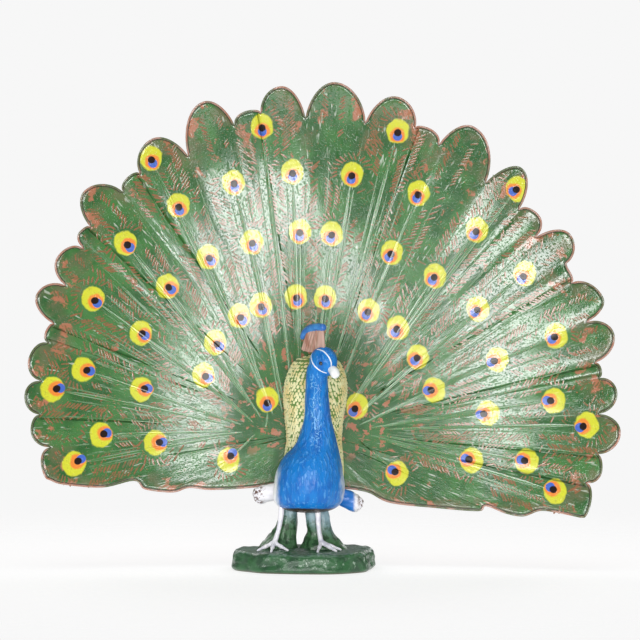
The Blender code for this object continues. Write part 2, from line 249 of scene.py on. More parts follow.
class GeometryTree(Graph):
    """A Geometry Nodes tree with named sizes as inputs."""

    def __init__(self, name: str, sizes: dict[str, float]) -> None:
        """Makes the tree's sockets.

        Args:
            name: The tree's name.
            sizes: The named sizes with their values.
        """
        self.tree = bpy.data.node_groups.new(name, "GeometryNodeTree")
        super().__init__(self.tree)
        face = self.tree.interface
        face.new_socket("Geometry", in_out="INPUT", socket_type="NodeSocketGeometry")
        for key in sizes:
            face.new_socket(key, in_out="INPUT", socket_type="NodeSocketFloat")
        face.new_socket("Finish", in_out="INPUT", socket_type="NodeSocketMaterial")
        face.new_socket("Geometry", in_out="OUTPUT", socket_type="NodeSocketGeometry")
        self.sizes = sizes
        self.inputs = self.nodes.new("NodeGroupInput").outputs

    def given(self, name: str) -> Wire:
        """Gives one of the tree's inputs."""
        return Wire(self, self.inputs[name])

    def read(self, name: str, kind: str = "FLOAT") -> Wire:
        """Reads a named attribute of the incoming points."""
        return self.out("GeometryNodeInputNamedAttribute", {"Name": name}, data_type=kind)

    def moved(self, geometry: Wire, x: Wire, y: Wire, z: Wire | float) -> Wire:
        """Puts a geometry's points at the given coordinates."""
        place = self.out("ShaderNodeCombineXYZ", {0: x, 1: y, 2: z})
        return self.out("GeometryNodeSetPosition", {"Geometry": geometry, "Position": place})

    def finish(self, geometry: Wire, smooth: bool = True) -> None:
        """Ends the tree: real meshes, shading and the finish.

        Args:
            geometry: What the tree makes.
            smooth: Whether its faces are shaded smooth.
        """
        real = self.out("GeometryNodeRealizeInstances", {0: geometry})
        inputs = {"Geometry": real, "Shade Smooth": smooth}
        inputs = {"Geometry": self.out("GeometryNodeSetShadeSmooth", inputs)}
        inputs["Material"] = self.given("Finish")
        self.add("NodeGroupOutput", {0: self.out("GeometryNodeSetMaterial", inputs)})

    def grow(self, name: str, source: Piece, finish: Finish) -> Piece:
        """Runs the tree on an object and keeps the result as a plain mesh.

        Args:
            name: The new piece's name.
            source: The object that the tree starts from, which is removed.
            finish: The piece's finish.

        Returns:
            The new piece.
        """
        modifier = source.modifiers.new(self.tree.name, "NODES")
        modifier.node_group = self.tree
        values = {**self.sizes, "Finish": finish.build()}
        for item in self.tree.interface.items_tree:
            if item.in_out == "INPUT" and item.name in values:
                modifier[item.identifier] = values[item.name]
        graph = bpy.context.evaluated_depsgraph_get()
        mesh = bpy.data.meshes.new_from_object(
            source.evaluated_get(graph), preserve_all_data_layers=True, depsgraph=graph
        )
        source.modifiers.remove(modifier)
        bpy.data.objects.remove(source)
        mesh.name = name
        return placed(name, mesh)


# Finishes


@dataclass(frozen=True)
class Finish:
    """A painted plastic finish; each kind adds its own pattern of colour and relief."""

    name: str
    roughness: float = 0.34
    coat: float = 0.35
    hollow_coat: float | None = None
    coat_roughness: float = 0.18
    coat_index: float = 1.5
    specular: float = 0.5
    relief: float = 0.03

    def pattern(self, graph: Graph, place: Wire) -> tuple[Wire, Wire]:
        """Gives the finish's colour and the height of its relief, from 0 to 1."""
        raise NotImplementedError

    def build(self) -> bpy.types.Material:
        """Makes the material.

        Returns:
            The material, with its pattern feeding one shader.
        """
        material = bpy.data.materials.new(self.name)
        material.use_nodes = True
        graph = Graph(material.node_tree)
        colour, height = self.pattern(graph, graph.place())
        bump = {"Height": height, "Strength": 1.0, "Distance": self.relief * MM}
        bumpy = graph.out("ShaderNodeBump", bump)
        coat = self.coat
        if self.hollow_coat is not None:
            coat = height.step(0.1, 0.8, self.hollow_coat, self.coat)
        inputs = {
            "Base Color": colour,
            "Roughness": height.step(0.2, 0.8, self.roughness + 0.1, self.roughness - 0.04),
            "Normal": bumpy,
            "Coat Normal": bumpy,
            "Coat Weight": coat,
            "Coat Roughness": self.coat_roughness,
            "Coat IOR": self.coat_index,
            "Specular IOR Level": self.specular,
        }
        graph.fill(graph.nodes["Principled BSDF"], inputs)
        return material


@dataclass(frozen=True)
class TrainPaint(Finish):
    """Green paint with eye spots on the front, rubbed down to bare plastic at the rim."""

    green: Colour = display(66, 122, 60)
    dark_green: Colour = display(42, 94, 44)
    olive: Colour = display(112, 108, 78)
    # Pale streak colour: scratches, and painted glare of the glossy coat.
    scratch_and_glare: Colour = display(198, 206, 190)
    bare: Colour = display(172, 112, 82)
    # Dark colour for the lip's groove: painted shade in the recess.
    rim: Colour = display(176, 138, 122)
    groove: Colour = display(52, 40, 32)
    back: Colour = display(150, 92, 70)
    dark_back: Colour = display(136, 84, 66)
    yellow: Colour = display(212, 214, 50)
    dull_yellow: Colour = display(190, 190, 52)
    orange: Colour = display(238, 138, 52)
    blue: Colour = display(66, 104, 198)
    dot: Colour = display(30, 14, 10)
    eye_width: float = 4.9
    eye_height: float = 5.5
    ring_offset: float = 0.9
    ring_radius: float = 1.65
    blue_offset: float = 0.8
    blue_radius: float = 1.0
    dot_radius: float = 0.8

    def spot(
        self, graph: Graph, place: Wire, centre: Value, radius: float, soft: float = 0.08
    ) -> Wire:
        """Gives the mask of a disc with a soft edge, in millimetres."""
        return graph.vector("DISTANCE", place, centre).step(radius + soft, radius - soft)

    def eyes(self, graph: Graph, ground: Wire, place: Wire) -> tuple[Wire, Wire]:
        """Paints the eye spots, whose outlines wander a little.

        Args:
            graph: The material's tree.
            ground: The colour that they are painted on.
            place: The place in millimetres.

        Returns:
            The colour, and the mask of the dark dots.
        """
        wander = graph.out("ShaderNodeTexNoise", {"Vector": place, "Scale": 0.6, "Detail": 5.0}, 1)
        shift = (wander - 0.5) * (1.0, 1.0, 0.0)
        eye, middle = graph.attribute("eye", "Vector"), graph.attribute("iris", "Vector")
        local, steady = eye + shift, shift * 0.35 + eye
        way = graph.vector("NORMALIZE", middle)
        oval = local * (1.0, self.eye_width / self.eye_height, 0.0)
        flecks = graph.noise(place, 1.8, 3.0).step(0.58, 0.7)
        yellow = graph.mix(flecks, self.yellow, self.dull_yellow)
        disc = self.spot(graph, oval, (0, 0, 0), self.eye_width / 2, 0.2)
        ring = self.spot(graph, local, way * self.ring_offset, self.ring_radius, 0.25)
        inner = self.spot(graph, steady, way * self.blue_offset + middle, self.blue_radius)
        dots = self.spot(graph, steady, middle, self.dot_radius)
        colour = graph.mix(ring, graph.mix(disc, ground, yellow), self.orange)
        return graph.mix(dots, graph.mix(inner, colour, self.blue), self.dot), dots

    def pattern(self, graph: Graph, place: Wire) -> tuple[Wire, Wire]:
        """Paints the train, with bare patches, pale scratches with painted glare, eye spots and a bare
        back.

        Args:
            graph: The material's tree.
            place: The place in millimetres.

        Returns:
            The colour, and the fine grain that runs along the feathers.
        """
        polar, share = graph.attribute("polar", "Vector"), graph.attribute("share")
        grain = graph.noise(polar * (1.7, 0.4, 1.0), 1.0, 2.0, 0.6)
        fine = graph.noise(polar * (3.2, 2.2, 1.0), 1.0, 1.0)
        root, outer = share.step(0.5, 0.2), share.step(0.84, 0.97)
        dark = graph.noise(place, 0.16, 3.0).step(0.35, 0.65) + root * 0.5
        colour = graph.mix(graph.least(dark, 1.0), self.green, self.dark_green)
        rubbed = graph.noise(place, 0.2, 3.0, 0.6).step(0.4, 0.62) * outer
        colour = graph.mix(rubbed * 0.7, colour, self.olive)
        ragged = graph.noise(polar * (0.42, 0.2, 1.0), 1.0, 5.0, 0.66)
        ragged = ragged + outer * 0.075 + root * 0.02
        blots = graph.noise(place, 0.42, 4.0, 0.62).step(0.56, 0.6) * root
        bare = graph.most(ragged.step(0.62, 0.68), blots, fine.step(0.68, 0.72) * 0.7)
        colour = graph.mix(bare, colour, self.bare)
        # Pale radial streaks in patches: partly scratches, partly painted glare, a painted highlight.
        scratches_and_glare = graph.noise(polar * (2.4, 0.3, 1.0), 1.0).step(0.6, 0.68, 0.0, 0.75)
        zone = graph.noise(place, 0.14).step(0.46, 0.6) * (1.0 - root * 0.5)
        colour = graph.mix(scratches_and_glare * zone, colour, self.scratch_and_glare)
        colour, dots = self.eyes(graph, colour, place)
        # The lip's groove is painted dark: painted shade in the recess.
        colour = graph.mix(graph.attribute("groove"), colour, self.groove)
        uneven = graph.noise(place, 0.8, 3.0).step(0.4, 0.65, 0.0, 0.7)
        smeared = graph.noise(place, 0.13, 3.0, 0.6).step(0.46, 0.56, 0.0, 0.8)
        plastic = graph.mix(smeared, graph.mix(uneven, self.rim, self.bare), self.dark_green)
        soft = graph.noise(place, 0.22, 3.0, 0.6).step(0.35, 0.7)
        behind = graph.mix(soft, self.back, self.dark_back)
        plastic = graph.mix(graph.attribute("behind"), plastic, behind)
        colour = graph.mix(graph.attribute("unpainted"), colour, plastic)
        dull = 1.0 - dots * 0.75 - root * 0.4
        return colour, graph.least(fine.step(0.36, 0.46), grain.step(0.33, 0.42), dull)


@dataclass(frozen=True)
class QuillPaint(TrainPaint):
    """Green paint that is pale along the edges of each quill: partly rubbed wear, partly a painted
    highlight.
    """

    # Pale of the quills' ridge edges: wear with a painted highlight.
    pale: Colour = display(186, 204, 184)
    root: Point = (1.7, 0.0, 29.7)

    def pattern(self, graph: Graph, place: Wire) -> tuple[Wire, Wire]:
        """Paints the quills, less pale near the root, and the eye spots that they meet.

        Args:
            graph: The material's tree.
            place: The place in millimetres.

        Returns:
            The colour and the grain.
        """
        fine = graph.noise(place, 2.4, 3.0, 0.6)
        away = graph.vector("DISTANCE", place * (1.0, 0.0, 1.0), self.root)
        # Pale on the quills' ridge edges: partly rubbed wear, partly a painted highlight on the ridges.
        pale_wear_and_highlight = graph.noise(place, 0.16).step(0.42, 0.6, 0.0, 0.7) * away.step(12.0, 34.0, 0.3)
        colour = graph.mix(fine.step(0.6, 0.66), self.green, self.bare)
        colour = graph.mix(graph.attribute("ridge") * pale_wear_and_highlight, colour, self.pale)
        return self.eyes(graph, colour, place)[0], fine


@dataclass(frozen=True)
class BarbPaint(Finish):
    """Bare terracotta where the paint is rubbed off the raised barbs."""

    bare: Colour = display(146, 98, 64)
    green: Colour = display(84, 104, 60)

    def pattern(self, graph: Graph, place: Wire) -> tuple[Wire, Wire]:
        """Paints the barbs bare, with some of the green left.

        Args:
            graph: The material's tree.
            place: The place in millimetres.

        Returns:
            The colour and the grain.
        """
        fine = graph.noise(place, 2.0, 3.0, 0.6)
        left = (fine + graph.noise(place, 0.35, 3.0, 0.6) * 0.8).step(0.82, 1.08)
        return graph.mix(left, self.bare, self.green), fine


@dataclass(frozen=True)
class MottledPaint(Finish):
    """One paint colour with a second one in soft patches and fine strokes."""

    main: Colour = display(35, 125, 205)
    second: Colour = display(25, 95, 180)
    stretch: Point = (1.0, 1.0, 1.0)
    patch_scale: float = 0.5
    grain_scale: float = 2.5
    amount: float = 1.0

    def pattern(self, graph: Graph, place: Wire) -> tuple[Wire, Wire]:
        """Paints the two-colour mottle.

        Args:
            graph: The material's tree.
            place: The place in millimetres.

        Returns:
            The colour and the grain.
        """
        drawn = place * self.stretch
        patch = graph.noise(drawn, self.patch_scale, 3.0).step(0.4, 0.68, 0.0, self.amount)
        grain = graph.noise(drawn, self.grain_scale, 3.0, 0.6)
        return graph.mix(patch, self.main, self.second), grain


@dataclass(frozen=True)
class BodyPaint(MottledPaint):
    """Bright blue, with a painted neck highlight, pale flanks and a dark line along the underside."""

    # Pale of the flanks: overspray, with a painted reflection of the white surroundings.
    pale: Colour = display(250, 252, 255)
    strokes: Colour = display(104, 176, 232)
    # Light blue of the neck's squiggles: a painted highlight.
    neck_highlight_squiggle: Colour = display(136, 200, 244)
    neck_middle: float = 2.8
    # Dark brown of the underside: the bird's own colour with painted shade.
    belly_brown_and_shade: Colour = display(58, 40, 34)

    def pattern(self, graph: Graph, place: Wire) -> tuple[Wire, Wire]:
        """Paints the strokes, the neck's painted highlight, the pale flanks and the dark underside.

        Args:
            graph: The material's tree.
            place: The place in millimetres.

        Returns:
            The colour, and the height of the strokes and squiggles.
        """
        colour, grain = super().pattern(graph, place)
        across, deep, high = (graph.axis(place, index) for index in range(3))
        feathers = graph.noise(place * (1.5, 1.5, 0.5), 1.2, 3.0, 0.55)
        colour = graph.mix(feathers.step(0.58, 0.66, 0.0, 0.5), colour, self.strokes)
        # Raised squiggles in a band on the neck, painted light blue as a painted highlight.
        drawn = graph.math("ABSOLUTE", graph.noise(place * (1.5, 1.5, 0.8), 0.75) - 0.5)
        beside = graph.math("ABSOLUTE", across - self.neck_middle)
        band = beside.step(1.5, 0.9) * high.step(24.0, 30.0) * high.step(43.0, 41.5)
        neck_highlight_squiggle = drawn.step(0.032, 0.012) * band
        colour = graph.mix(neck_highlight_squiggle * 0.8, colour, self.neck_highlight_squiggle)
        # Pale flanks: partly overspray, partly a painted reflection of the white surroundings at the
        # edges.
        ragged = graph.noise(place, 0.6, 3.0) * 1.6
        left = (across + ragged).step(-3.9, -5.3) * deep.step(-8.5, -5.0)
        right = (across - ragged).step(6.9, 8.2, 0.0, 0.6)
        colour = graph.mix(graph.most(left, right) * high.step(27.0, 20.0), colour, self.pale)
        # Dark brown where the low skin faces down: partly the bird's own colour, partly painted shade.
        under = graph.attribute("under").step(0.9, 0.96)
        raised = feathers.step(0.44, 0.62) * high.step(18.0, 27.0, 0.45)
        height = grain * 0.35 + graph.most(raised, neck_highlight_squiggle)
        return graph.mix(under, colour, self.belly_brown_and_shade), height


@dataclass(frozen=True)
class FadedPaint(Finish):
    """Two paints that meet along one axis, with specks of a third."""

    axis: int = 0
    lean: float = 0.0
    start: float = 0.0
    end: float = 1.0
    low: Colour = display(236, 234, 240)
    high: Colour = display(236, 234, 240)
    speck: Colour = display(96, 66, 56)
    speck_start: float = 0.0
    speck_end: float = 1.0
    speck_scale: float = 1.6
    stretch: Point = (1.0, 1.0, 1.0)

    def pattern(self, graph: Graph, place: Wire) -> tuple[Wire, Wire]:
        """Paints the two colours and the specks.

        Args:
            graph: The material's tree.
            place: The place in millimetres.

        Returns:
            The colour and the grain.
        """
        grain = graph.noise(place * self.stretch, 2.2, 3.0, 0.6)
        where = grain * 0.8 + graph.axis(place, self.axis) + graph.axis(place, 0) * self.lean
        colour = graph.mix(where.step(self.start, self.end), self.low, self.high)
        specks = graph.noise(place, self.speck_scale, 3.0, 0.6).step(0.5, 0.56)
        zone = where.step(self.speck_start, self.speck_end)
        return graph.mix(specks * zone, colour, self.speck), grain


@dataclass(frozen=True)
class BasePaint(Finish):
    """Dark green with pale scuffs on its high places, a painted highlight on its top and a brown foot.
    """

    green: Colour = display(46, 98, 56)
    dark: Colour = display(24, 62, 38)
    scuff: Colour = display(168, 190, 170)
    # Grey-green of the top: a painted highlight.
    top: Colour = display(120, 146, 136)
    foot: Colour = display(84, 84, 64)

    def pattern(self, graph: Graph, place: Wire) -> tuple[Wire, Wire]:
        """Paints the base, its scuffed side, its paler top as a painted highlight, and its foot.

        Args:
            graph: The material's tree.
            place: The place in millimetres.

        Returns:
            The colour and the grain.
        """
        grain = graph.noise(place, 1.4, 4.0, 0.6)
        high = graph.axis(place, 2)
        cloud = graph.noise(place, 0.35, 3.0).step(0.4, 0.62, 0.0, 0.75)
        rubbed = graph.noise(place * (1.0, 1.0, 0.75), 1.3, 3.0, 0.6).step(0.55, 0.66)
        band = high.step(0.9, 1.6) * high.step(3.8, 3.0)
        patchy = graph.noise(place, 0.21, 1.0).step(0.42, 0.54)
        colour = graph.mix(cloud, self.green, self.dark)
        colour = graph.mix(rubbed * band * patchy * 0.8, colour, self.scuff)
        # Paler top: a painted highlight along the base's upper surface.
        top_highlight = high.step(3.4, 4.2) * grain.step(0.42, 0.6)
        colour = graph.mix(top_highlight * 0.6, colour, self.top)
        return graph.mix(high.step(0.45, 0.1), colour, self.foot), grain


@dataclass(frozen=True)
class ShieldPaint(Finish):
    """Green in the hollows between the back's scales, pale yellow at its border."""

    green: Colour = display(112, 148, 76)
    yellow: Colour = display(246, 240, 168)

    def pattern(self, graph: Graph, place: Wire) -> tuple[Wire, Wire]:
        """Paints the ground under the scales.

        Args:
            graph: The material's tree.
            place: The place in millimetres.

        Returns:
            The colour and the grain.
        """
        grain = graph.noise(place, 2.0, 3.0, 0.6)
        low = graph.axis(place, 2).step(30.0, 21.0, 0.0, 0.5)
        ragged = grain * 0.3 + graph.attribute("border") + low
        return graph.mix(ragged.step(0.55, 0.8), self.green, self.yellow), grain


# Shapes


@dataclass
class Shape:
    """Points in millimetres and the faces that join them."""

    points: Array
    faces: list[tuple[int, ...]]


def catmull(rows: Sequence[Sequence[float]], count: int) -> Array:
    """Samples a smooth curve that passes through rows of numbers.

    Args:
        rows: The rows that it passes through.
        count: How many samples to take, first and last row included.

    Returns:
        The samples, one per row.
    """
    given = np.asarray(rows, dtype=float)
    last = len(given) - 1
    where = np.linspace(0, last, count)
    index = np.clip(where.astype(int), 0, last - 1)
    part = (where - index)[:, None]
    ends = np.vstack([2 * given[0] - given[1], given, 2 * given[-1] - given[-2]])
    a, b, c, d = (ends[index + k] for k in range(4))
    square = (2 * a - 5 * b + 4 * c - d) * part**2
    return 0.5 * (2 * b + (c - a) * part + square + (3 * b - a - 3 * c + d) * part**3)


def swelling(values: Sequence[float], count: int) -> Array:
    """Samples a smooth curve through single numbers."""
    return catmull([[value] for value in values], count)[:, 0]


def circle(sides: int) -> Array:
    """Gives evenly spaced angles all round, in radians."""
    return np.linspace(0, 2 * math.pi, sides, endpoint=False)


def rounded(cosine: Array, power: float) -> Array:
    """Bends a circle's sines or cosines towards a squarer oval."""
    return np.sign(cosine) * np.abs(cosine) ** power


def loft(rings: Sequence[Array] | Array) -> Shape:
    """Joins rings of points with quads and closes both ends with a fan.

    Args:
        rings: Points by ring and place on the ring.

    Returns:
        The closed shape.
    """
    rings = np.asarray(rings)
    rows, sides = rings.shape[:2]
    ends = [rings[0].mean(axis=0), rings[-1].mean(axis=0)]
    points = np.vstack([rings.reshape(-1, 3), ends])
    faces: list[tuple[int, ...]] = []
    for row in range(rows - 1):
        low, high = row * sides, (row + 1) * sides
        for i in range(sides):
            j = (i + 1) % sides
            faces.append((low + i, low + j, high + j, high + i))
    last, first_end, last_end = (rows - 1) * sides, rows * sides, rows * sides + 1
    for i in range(sides):
        j = (i + 1) % sides
        faces.append((j, i, first_end))
        faces.append((last + i, last + j, last_end))
    return Shape(points, faces)


def tube(path: Array, radii: Array, sides: int, flatten: float = 1.0) -> Shape:
    """Makes a round rod along a path.

    Args:
        path: The points that it follows.
        radii: Its radius at each point.
        sides: How many sides it has.
        flatten: How deep it is, as a share of how high.

    Returns:
        The closed shape.
    """
    along = np.gradient(path, axis=0)
    along /= np.linalg.norm(along, axis=1)[:, None]
    turn = circle(sides)
    rings = []
    for here, ahead, radius in zip(path, along, radii):
        up = np.cross(ahead, (0.0, 1.0, 0.0))
        if np.linalg.norm(up) < 0.3:
            up = np.cross(ahead, (1.0, 0.0, 0.0))
        up /= np.linalg.norm(up)
        deep = np.cross(up, ahead)
        ring = np.outer(np.cos(turn), up) + flatten * np.outer(np.sin(turn), deep)
        rings.append(here + radius * ring)
    return loft(rings)


def oval(half_sizes: Point, rows: int, sides: int, end: float) -> Array:
    """Gives the rings of an oval about the origin.

    Args:
        half_sizes: Its half sizes along the three axes.
        rows: How many rings it has.
        sides: How many points each ring has.
        end: How near the rings come to its poles, where 1 is on them.

    Returns:
        The rings' points.
    """
    turn = circle(sides)
    rings = []
    for angle in np.linspace(-end, end, rows) * math.pi / 2:
        level = math.cos(angle)
        ring = [level * np.cos(turn), level * np.sin(turn), np.full(sides, math.sin(angle))]
        rings.append(np.stack(ring, axis=1) * half_sizes)
    return np.array(rings)


def join(shapes: Sequence[Shape]) -> Shape:
    """Puts several shapes into one.

    Args:
        shapes: The shapes.

    Returns:
        One shape with all their points and faces.
    """
    points, faces, start = [], [], 0
    for shape in shapes:
        points.append(shape.points)
        faces += [tuple(i + start for i in face) for face in shape.faces]
        start += len(shape.points)
    return Shape(np.vstack(points), faces)


def roughness_at(points: Array, scale: Sequence[float], seed: float = 0.0) -> Array:
    """Gives smooth noise, from -1 to 1, at each point.

    Args:
        points: Places in millimetres.
        scale: Bumps per millimetre along each axis.
        seed: Moves the pattern.

    Returns:
        One value per point.
    """
    moved = points * np.asarray(scale) + seed
    return np.array([noise.noise(Vector(p)) for p in moved])


def placed(name: str, data: bpy.types.ID) -> Piece:
    """Puts a mesh, light or camera into the scene.

    Args:
        name: The object's name.
        data: What it shows.

    Returns:
        The new object.
    """
    made = bpy.data.objects.new(name, data)
    bpy.context.scene.collection.objects.link(made)
    return made


def new_piece(name: str, shape: Shape, finish: Finish) -> Piece:
    """Makes a smooth object from a closed shape, with its faces pointing outwards.

    Args:
        name: The object's name.
        shape: Its points and faces, in millimetres.
        finish: Its finish.

    Returns:
        The new object.
    """
    mesh = bpy.data.meshes.new(name)
    mesh.from_pydata((shape.points * MM).tolist(), [], shape.faces)
    builder = bmesh.new()
    builder.from_mesh(mesh)
    bmesh.ops.recalc_face_normals(builder, faces=builder.faces)
    builder.to_mesh(mesh)
    builder.free()
    mesh.shade_smooth()
    mesh.materials.append(finish.build())
    return placed(name, mesh)


def store(mesh: bpy.types.Mesh, name: str, values: Array, domain: str = "POINT") -> None:
    """Keeps numbers or vectors on a mesh as a named attribute.

    Args:
        mesh: The mesh.
        name: The attribute's name.
        values: A number or a vector for each point or face corner.
        domain: What the values belong to.
    """
    kind, key = ("FLOAT_VECTOR", "vector") if values.ndim == 2 else ("FLOAT", "value")
    data = mesh.attributes.new(name, kind, domain).data
    data.foreach_set(key, values.astype(np.float32).ravel())


def carriers(
    name: str, places: Sequence[Vector], edges: Sequence[tuple[int, int]], **kept: Sequence
) -> Piece:
    """Makes the points that a tree builds on, with their attributes.

    Args:
        name: The object's name.
        places: The points, in metres.
        edges: The edges that join them.
        **kept: The attributes, each a number or a vector per point.

    Returns:
        The object, which the tree's grow method takes.
    """
    mesh = bpy.data.meshes.new(name)
    mesh.from_pydata(places, edges, [])
    for key, values in kept.items():
        store(mesh, key, np.array(values))
    return placed(name, mesh)


def points_of(piece: Piece) -> tuple[Array, Array]:
    """Reads a mesh's points.

    Args:
        piece: The mesh's object.

    Returns:
        The points in millimetres and their normals.
    """
    count = len(piece.data.vertices)
    places, normals = np.empty(count * 3), np.empty(count * 3)
    piece.data.vertices.foreach_get("co", places)
    piece.data.vertex_normals.foreach_get("vector", normals)
    return places.reshape(-1, 3) / MM, normals.reshape(-1, 3)


def move_points(piece: Piece, places: Array) -> None:
    """Moves a mesh's points to places in millimetres."""
    piece.data.vertices.foreach_set("co", (places * MM).ravel())
    piece.data.update()


def raise_points(piece: Piece, heights: Array) -> None:
    """Moves each point of a mesh out along its normal, in millimetres."""
    places, normals = points_of(piece)
    move_points(piece, places + normals * heights[:, None])


def fused(
    name: str, shapes: Sequence[Shape], voxel: float, passes: int, finish: Finish
) -> Piece:
    """Melts several closed shapes into one smooth skin.

    Args:
        name: The piece's name.
        shapes: The shapes to melt together.
        voxel: The size of the skin's faces.
        passes: How often the skin is smoothed.
        finish: The piece's finish.

    Returns:
        The new piece.
    """
    piece = new_piece(name, join(shapes), finish)
    remesh = piece.modifiers.new("skin", "REMESH")
    remesh.mode = "VOXEL"
    remesh.voxel_size = voxel * MM
    remesh.use_smooth_shade = True
    smooth = piece.modifiers.new("smooth", "SMOOTH")
    smooth.factor = 0.5
    smooth.iterations = passes
    graph = bpy.context.evaluated_depsgraph_get()
    skin = bpy.data.meshes.new_from_object(piece.evaluated_get(graph), depsgraph=graph)
    coarse = piece.data
    piece.modifiers.clear()
    piece.data = skin
    bpy.data.meshes.remove(coarse)
    skin.name = name
    if not skin.materials:
        skin.materials.append(finish.build())
    return piece


def surface_of(piece: Piece) -> BVHTree:
    """Gives a search tree of a mesh's surface, in metres."""
    return BVHTree.FromObject(piece, bpy.context.evaluated_depsgraph_get())


def seen_on(surface: BVHTree, x: float, z: float) -> tuple[Vector, Vector] | None:
    """Finds what a level line from the front meets, in millimetres.

    Args:
        surface: The surface to search.
        x: The line's place to the right.
        z: Its height.

    Returns:
        The place in millimetres and the surface's normal, or None past its edge.
    """
    place, normal, _, _ = surface.ray_cast(Vector((x * MM, -0.06, z * MM)), Vector((0, 1, 0)))
    return None if place is None else (place / MM, normal)


def sunk_in(surface: BVHTree, place: Array, depth: float) -> Array:
    """Finds the point under the surface that is nearest to a place, in millimetres."""
    near, normal, _, _ = surface.find_nearest(Vector(place * MM))
    return np.array(near / MM - normal * depth)


def dress(piece: Piece, slot: Slot, node: Node) -> None:
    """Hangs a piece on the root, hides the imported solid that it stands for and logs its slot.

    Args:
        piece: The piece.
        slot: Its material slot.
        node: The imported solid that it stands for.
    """
    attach(piece, "root")
    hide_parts(node.value)
    LOG.info("%s: %d faces in slot %s", piece.name, len(piece.data.polygons), slot.value)


# Train

# Bearing and reach of each feather's tip, then of the gap after it, in degrees from
# straight up and in hundredths of the train's reach.
FEATHERS: Table = (
    (-96, 76.5, -93, 74), (-89, 79, -86, 77), (-82, 81.5, -79, 78), (-75, 82.5, -71, 79),
    (-69, 80.5, -67, 79.5), (-63, 87, -59, 81.5), (-55, 87.5, -51, 83.5), (-49, 87, -47, 86),
    (-43, 94, -38, 87), (-35, 89.5, -33.5, 88.5), (-28.5, 95, -24, 86.5), (-18, 99, -14, 90.5),
    (-11, 93.5, -9, 92.5), (-5, 99, -1, 90), (4, 100, 10, 90), (14.5, 98.7, 19, 92),
    (21, 93, 24, 90), (28, 98.5, 35, 87), (38.5, 96, 43, 87), (46, 89.5, 49, 85),
    (52.5, 92.5, 56.5, 87), (58, 86.5, 60, 85.5), (65, 91, 68, 84.5), (71.5, 90, 76, 83),
    (77.5, 84, 79, 83), (82, 87, 86, 81.5), (89.5, 87, 94, 81), (97, 82.5, 100, 79),
    (104, 81, 107, 80),
)
# The lower edge from right to left: how far across and below the train's centre, in
# hundredths of its reach.
HEM: Table = (
    (75.5, 23.4), (69, 22.2), (64.5, 21.9), (60, 23.5), (55, 22.8), (49.7, 20.9), (47.5, 22.3),
    (35.5, 21.6), (22.6, 20.3), (16.2, 17.4), (9.4, 16.3), (0, 15.3), (-9.4, 15), (-17.2, 16.1),
    (-28.5, 16.6), (-34.6, 16), (-39.3, 17.2), (-47.2, 16.2), (-50.2, 13.8), (-59, 15.5),
    (-70, 14.4), (-74, 12.9),
)


@dataclass(frozen=True)
class EyeRow:
    """A row of eye spots: bearing and reach of each, and the barbs beside them."""

    places: Table
    half_width: float
    barbs_down: float


EYE_ROWS = (
    EyeRow(
        ((-80, 56.9), (-30, 69.2), (-9, 67.6), (16, 68.4), (40, 69.6), (88, 59.9), (103, 54.5)),
        half_width=6.6,
        barbs_down=13.0,
    ),
    EyeRow(
        (
            (-97, 51.7), (-90, 45.5), (-74, 51.3), (-58, 55.7), (-44, 57.8), (-30, 57.4),
            (-17, 57.2), (-4, 57.1), (9, 57.1), (24, 57.3), (39, 57.1), (53, 58.1), (68, 57.3),
            (82, 53.2), (97, 47.2),
        ),
        half_width=6.2,
        barbs_down=15.0,
    ),
    EyeRow(
        (
            (-93, 33.8), (-75, 38.0), (-59, 42.9), (-44, 44.7), (-30, 44.5), (-17, 43.7),
            (-3, 44.1), (6, 43.8), (24, 43.2), (38, 43.7), (53, 45.4), (68, 43.6), (83, 38.7),
            (99, 35.3),
        ),
        half_width=5.2,
        barbs_down=11.0,
    ),
    EyeRow(
        (
            (-61, 26.6), (-46, 28.8), (-31, 30.1), (-21, 30.1), (-6, 30.1), (6, 29.9),
            (25, 29.7), (39, 29.9), (54, 28.7), (70, 28.5),
        ),
        half_width=4.2,
        barbs_down=7.0,
    ),
    EyeRow(((-107, 18.6), (-51, 12.2), (58, 11.8), (114, 20.5)), half_width=3.4, barbs_down=3.0),
)
GLOSS = {"roughness": 0.5, "coat": 1.0, "coat_roughness": 0.12, "coat_index": 1.75, "specular": 0.1}


@dataclass(frozen=True)
class View:
    """The photograph's camera: what it looks at, from how far and how steeply down."""

    aim: Point = (3.7, -6.0, 54.6)
    distance: float = 650.0
    elevation: float = 1.0


@dataclass(frozen=True)
class Seat:
    """The joint between the bird's back and the train, which leans back."""

    depth: float = 7.0
    gap: float = 0.3
    lean: float = 9.0
    middle: float = 29.7
    half_width: float = 10.0
    half_height: float = 19.0

    def slope(self) -> float:
        """Says how far the seat leans back for each millimetre of height."""
        return math.tan(math.radians(self.lean))

    def plane(self, z: Array | float) -> Array | float:
        """Gives the depth of the bird's flat back at a height."""
        return self.depth + (z - self.middle) * self.slope()


def heading(bearing: float) -> Array:
    """Gives the direction of a bearing, in degrees from straight up to the right."""
    turn = math.radians(bearing)
    return np.array([math.sin(turn), math.cos(turn)])


def bearing_of(place: Array) -> float:
    """Gives a place's bearing, in degrees from straight up to the right."""
    return math.degrees(math.atan2(place[0], place[1]))


def right_of(way: Array) -> Array:
    """Gives the direction to the viewer's right of another one."""
    return np.array([way[1], -way[0]])


def swung(way: Array, turn: float) -> Array:
    """Turns a direction to the viewer's right, by an angle in radians."""
    return way * math.cos(turn) + right_of(way) * math.sin(turn)


@dataclass
class Eye:
    """One eye spot: its place on the flat train, its feather's direction and its iris."""

    place: Array
    along: Array
    iris: Array
    row: EyeRow


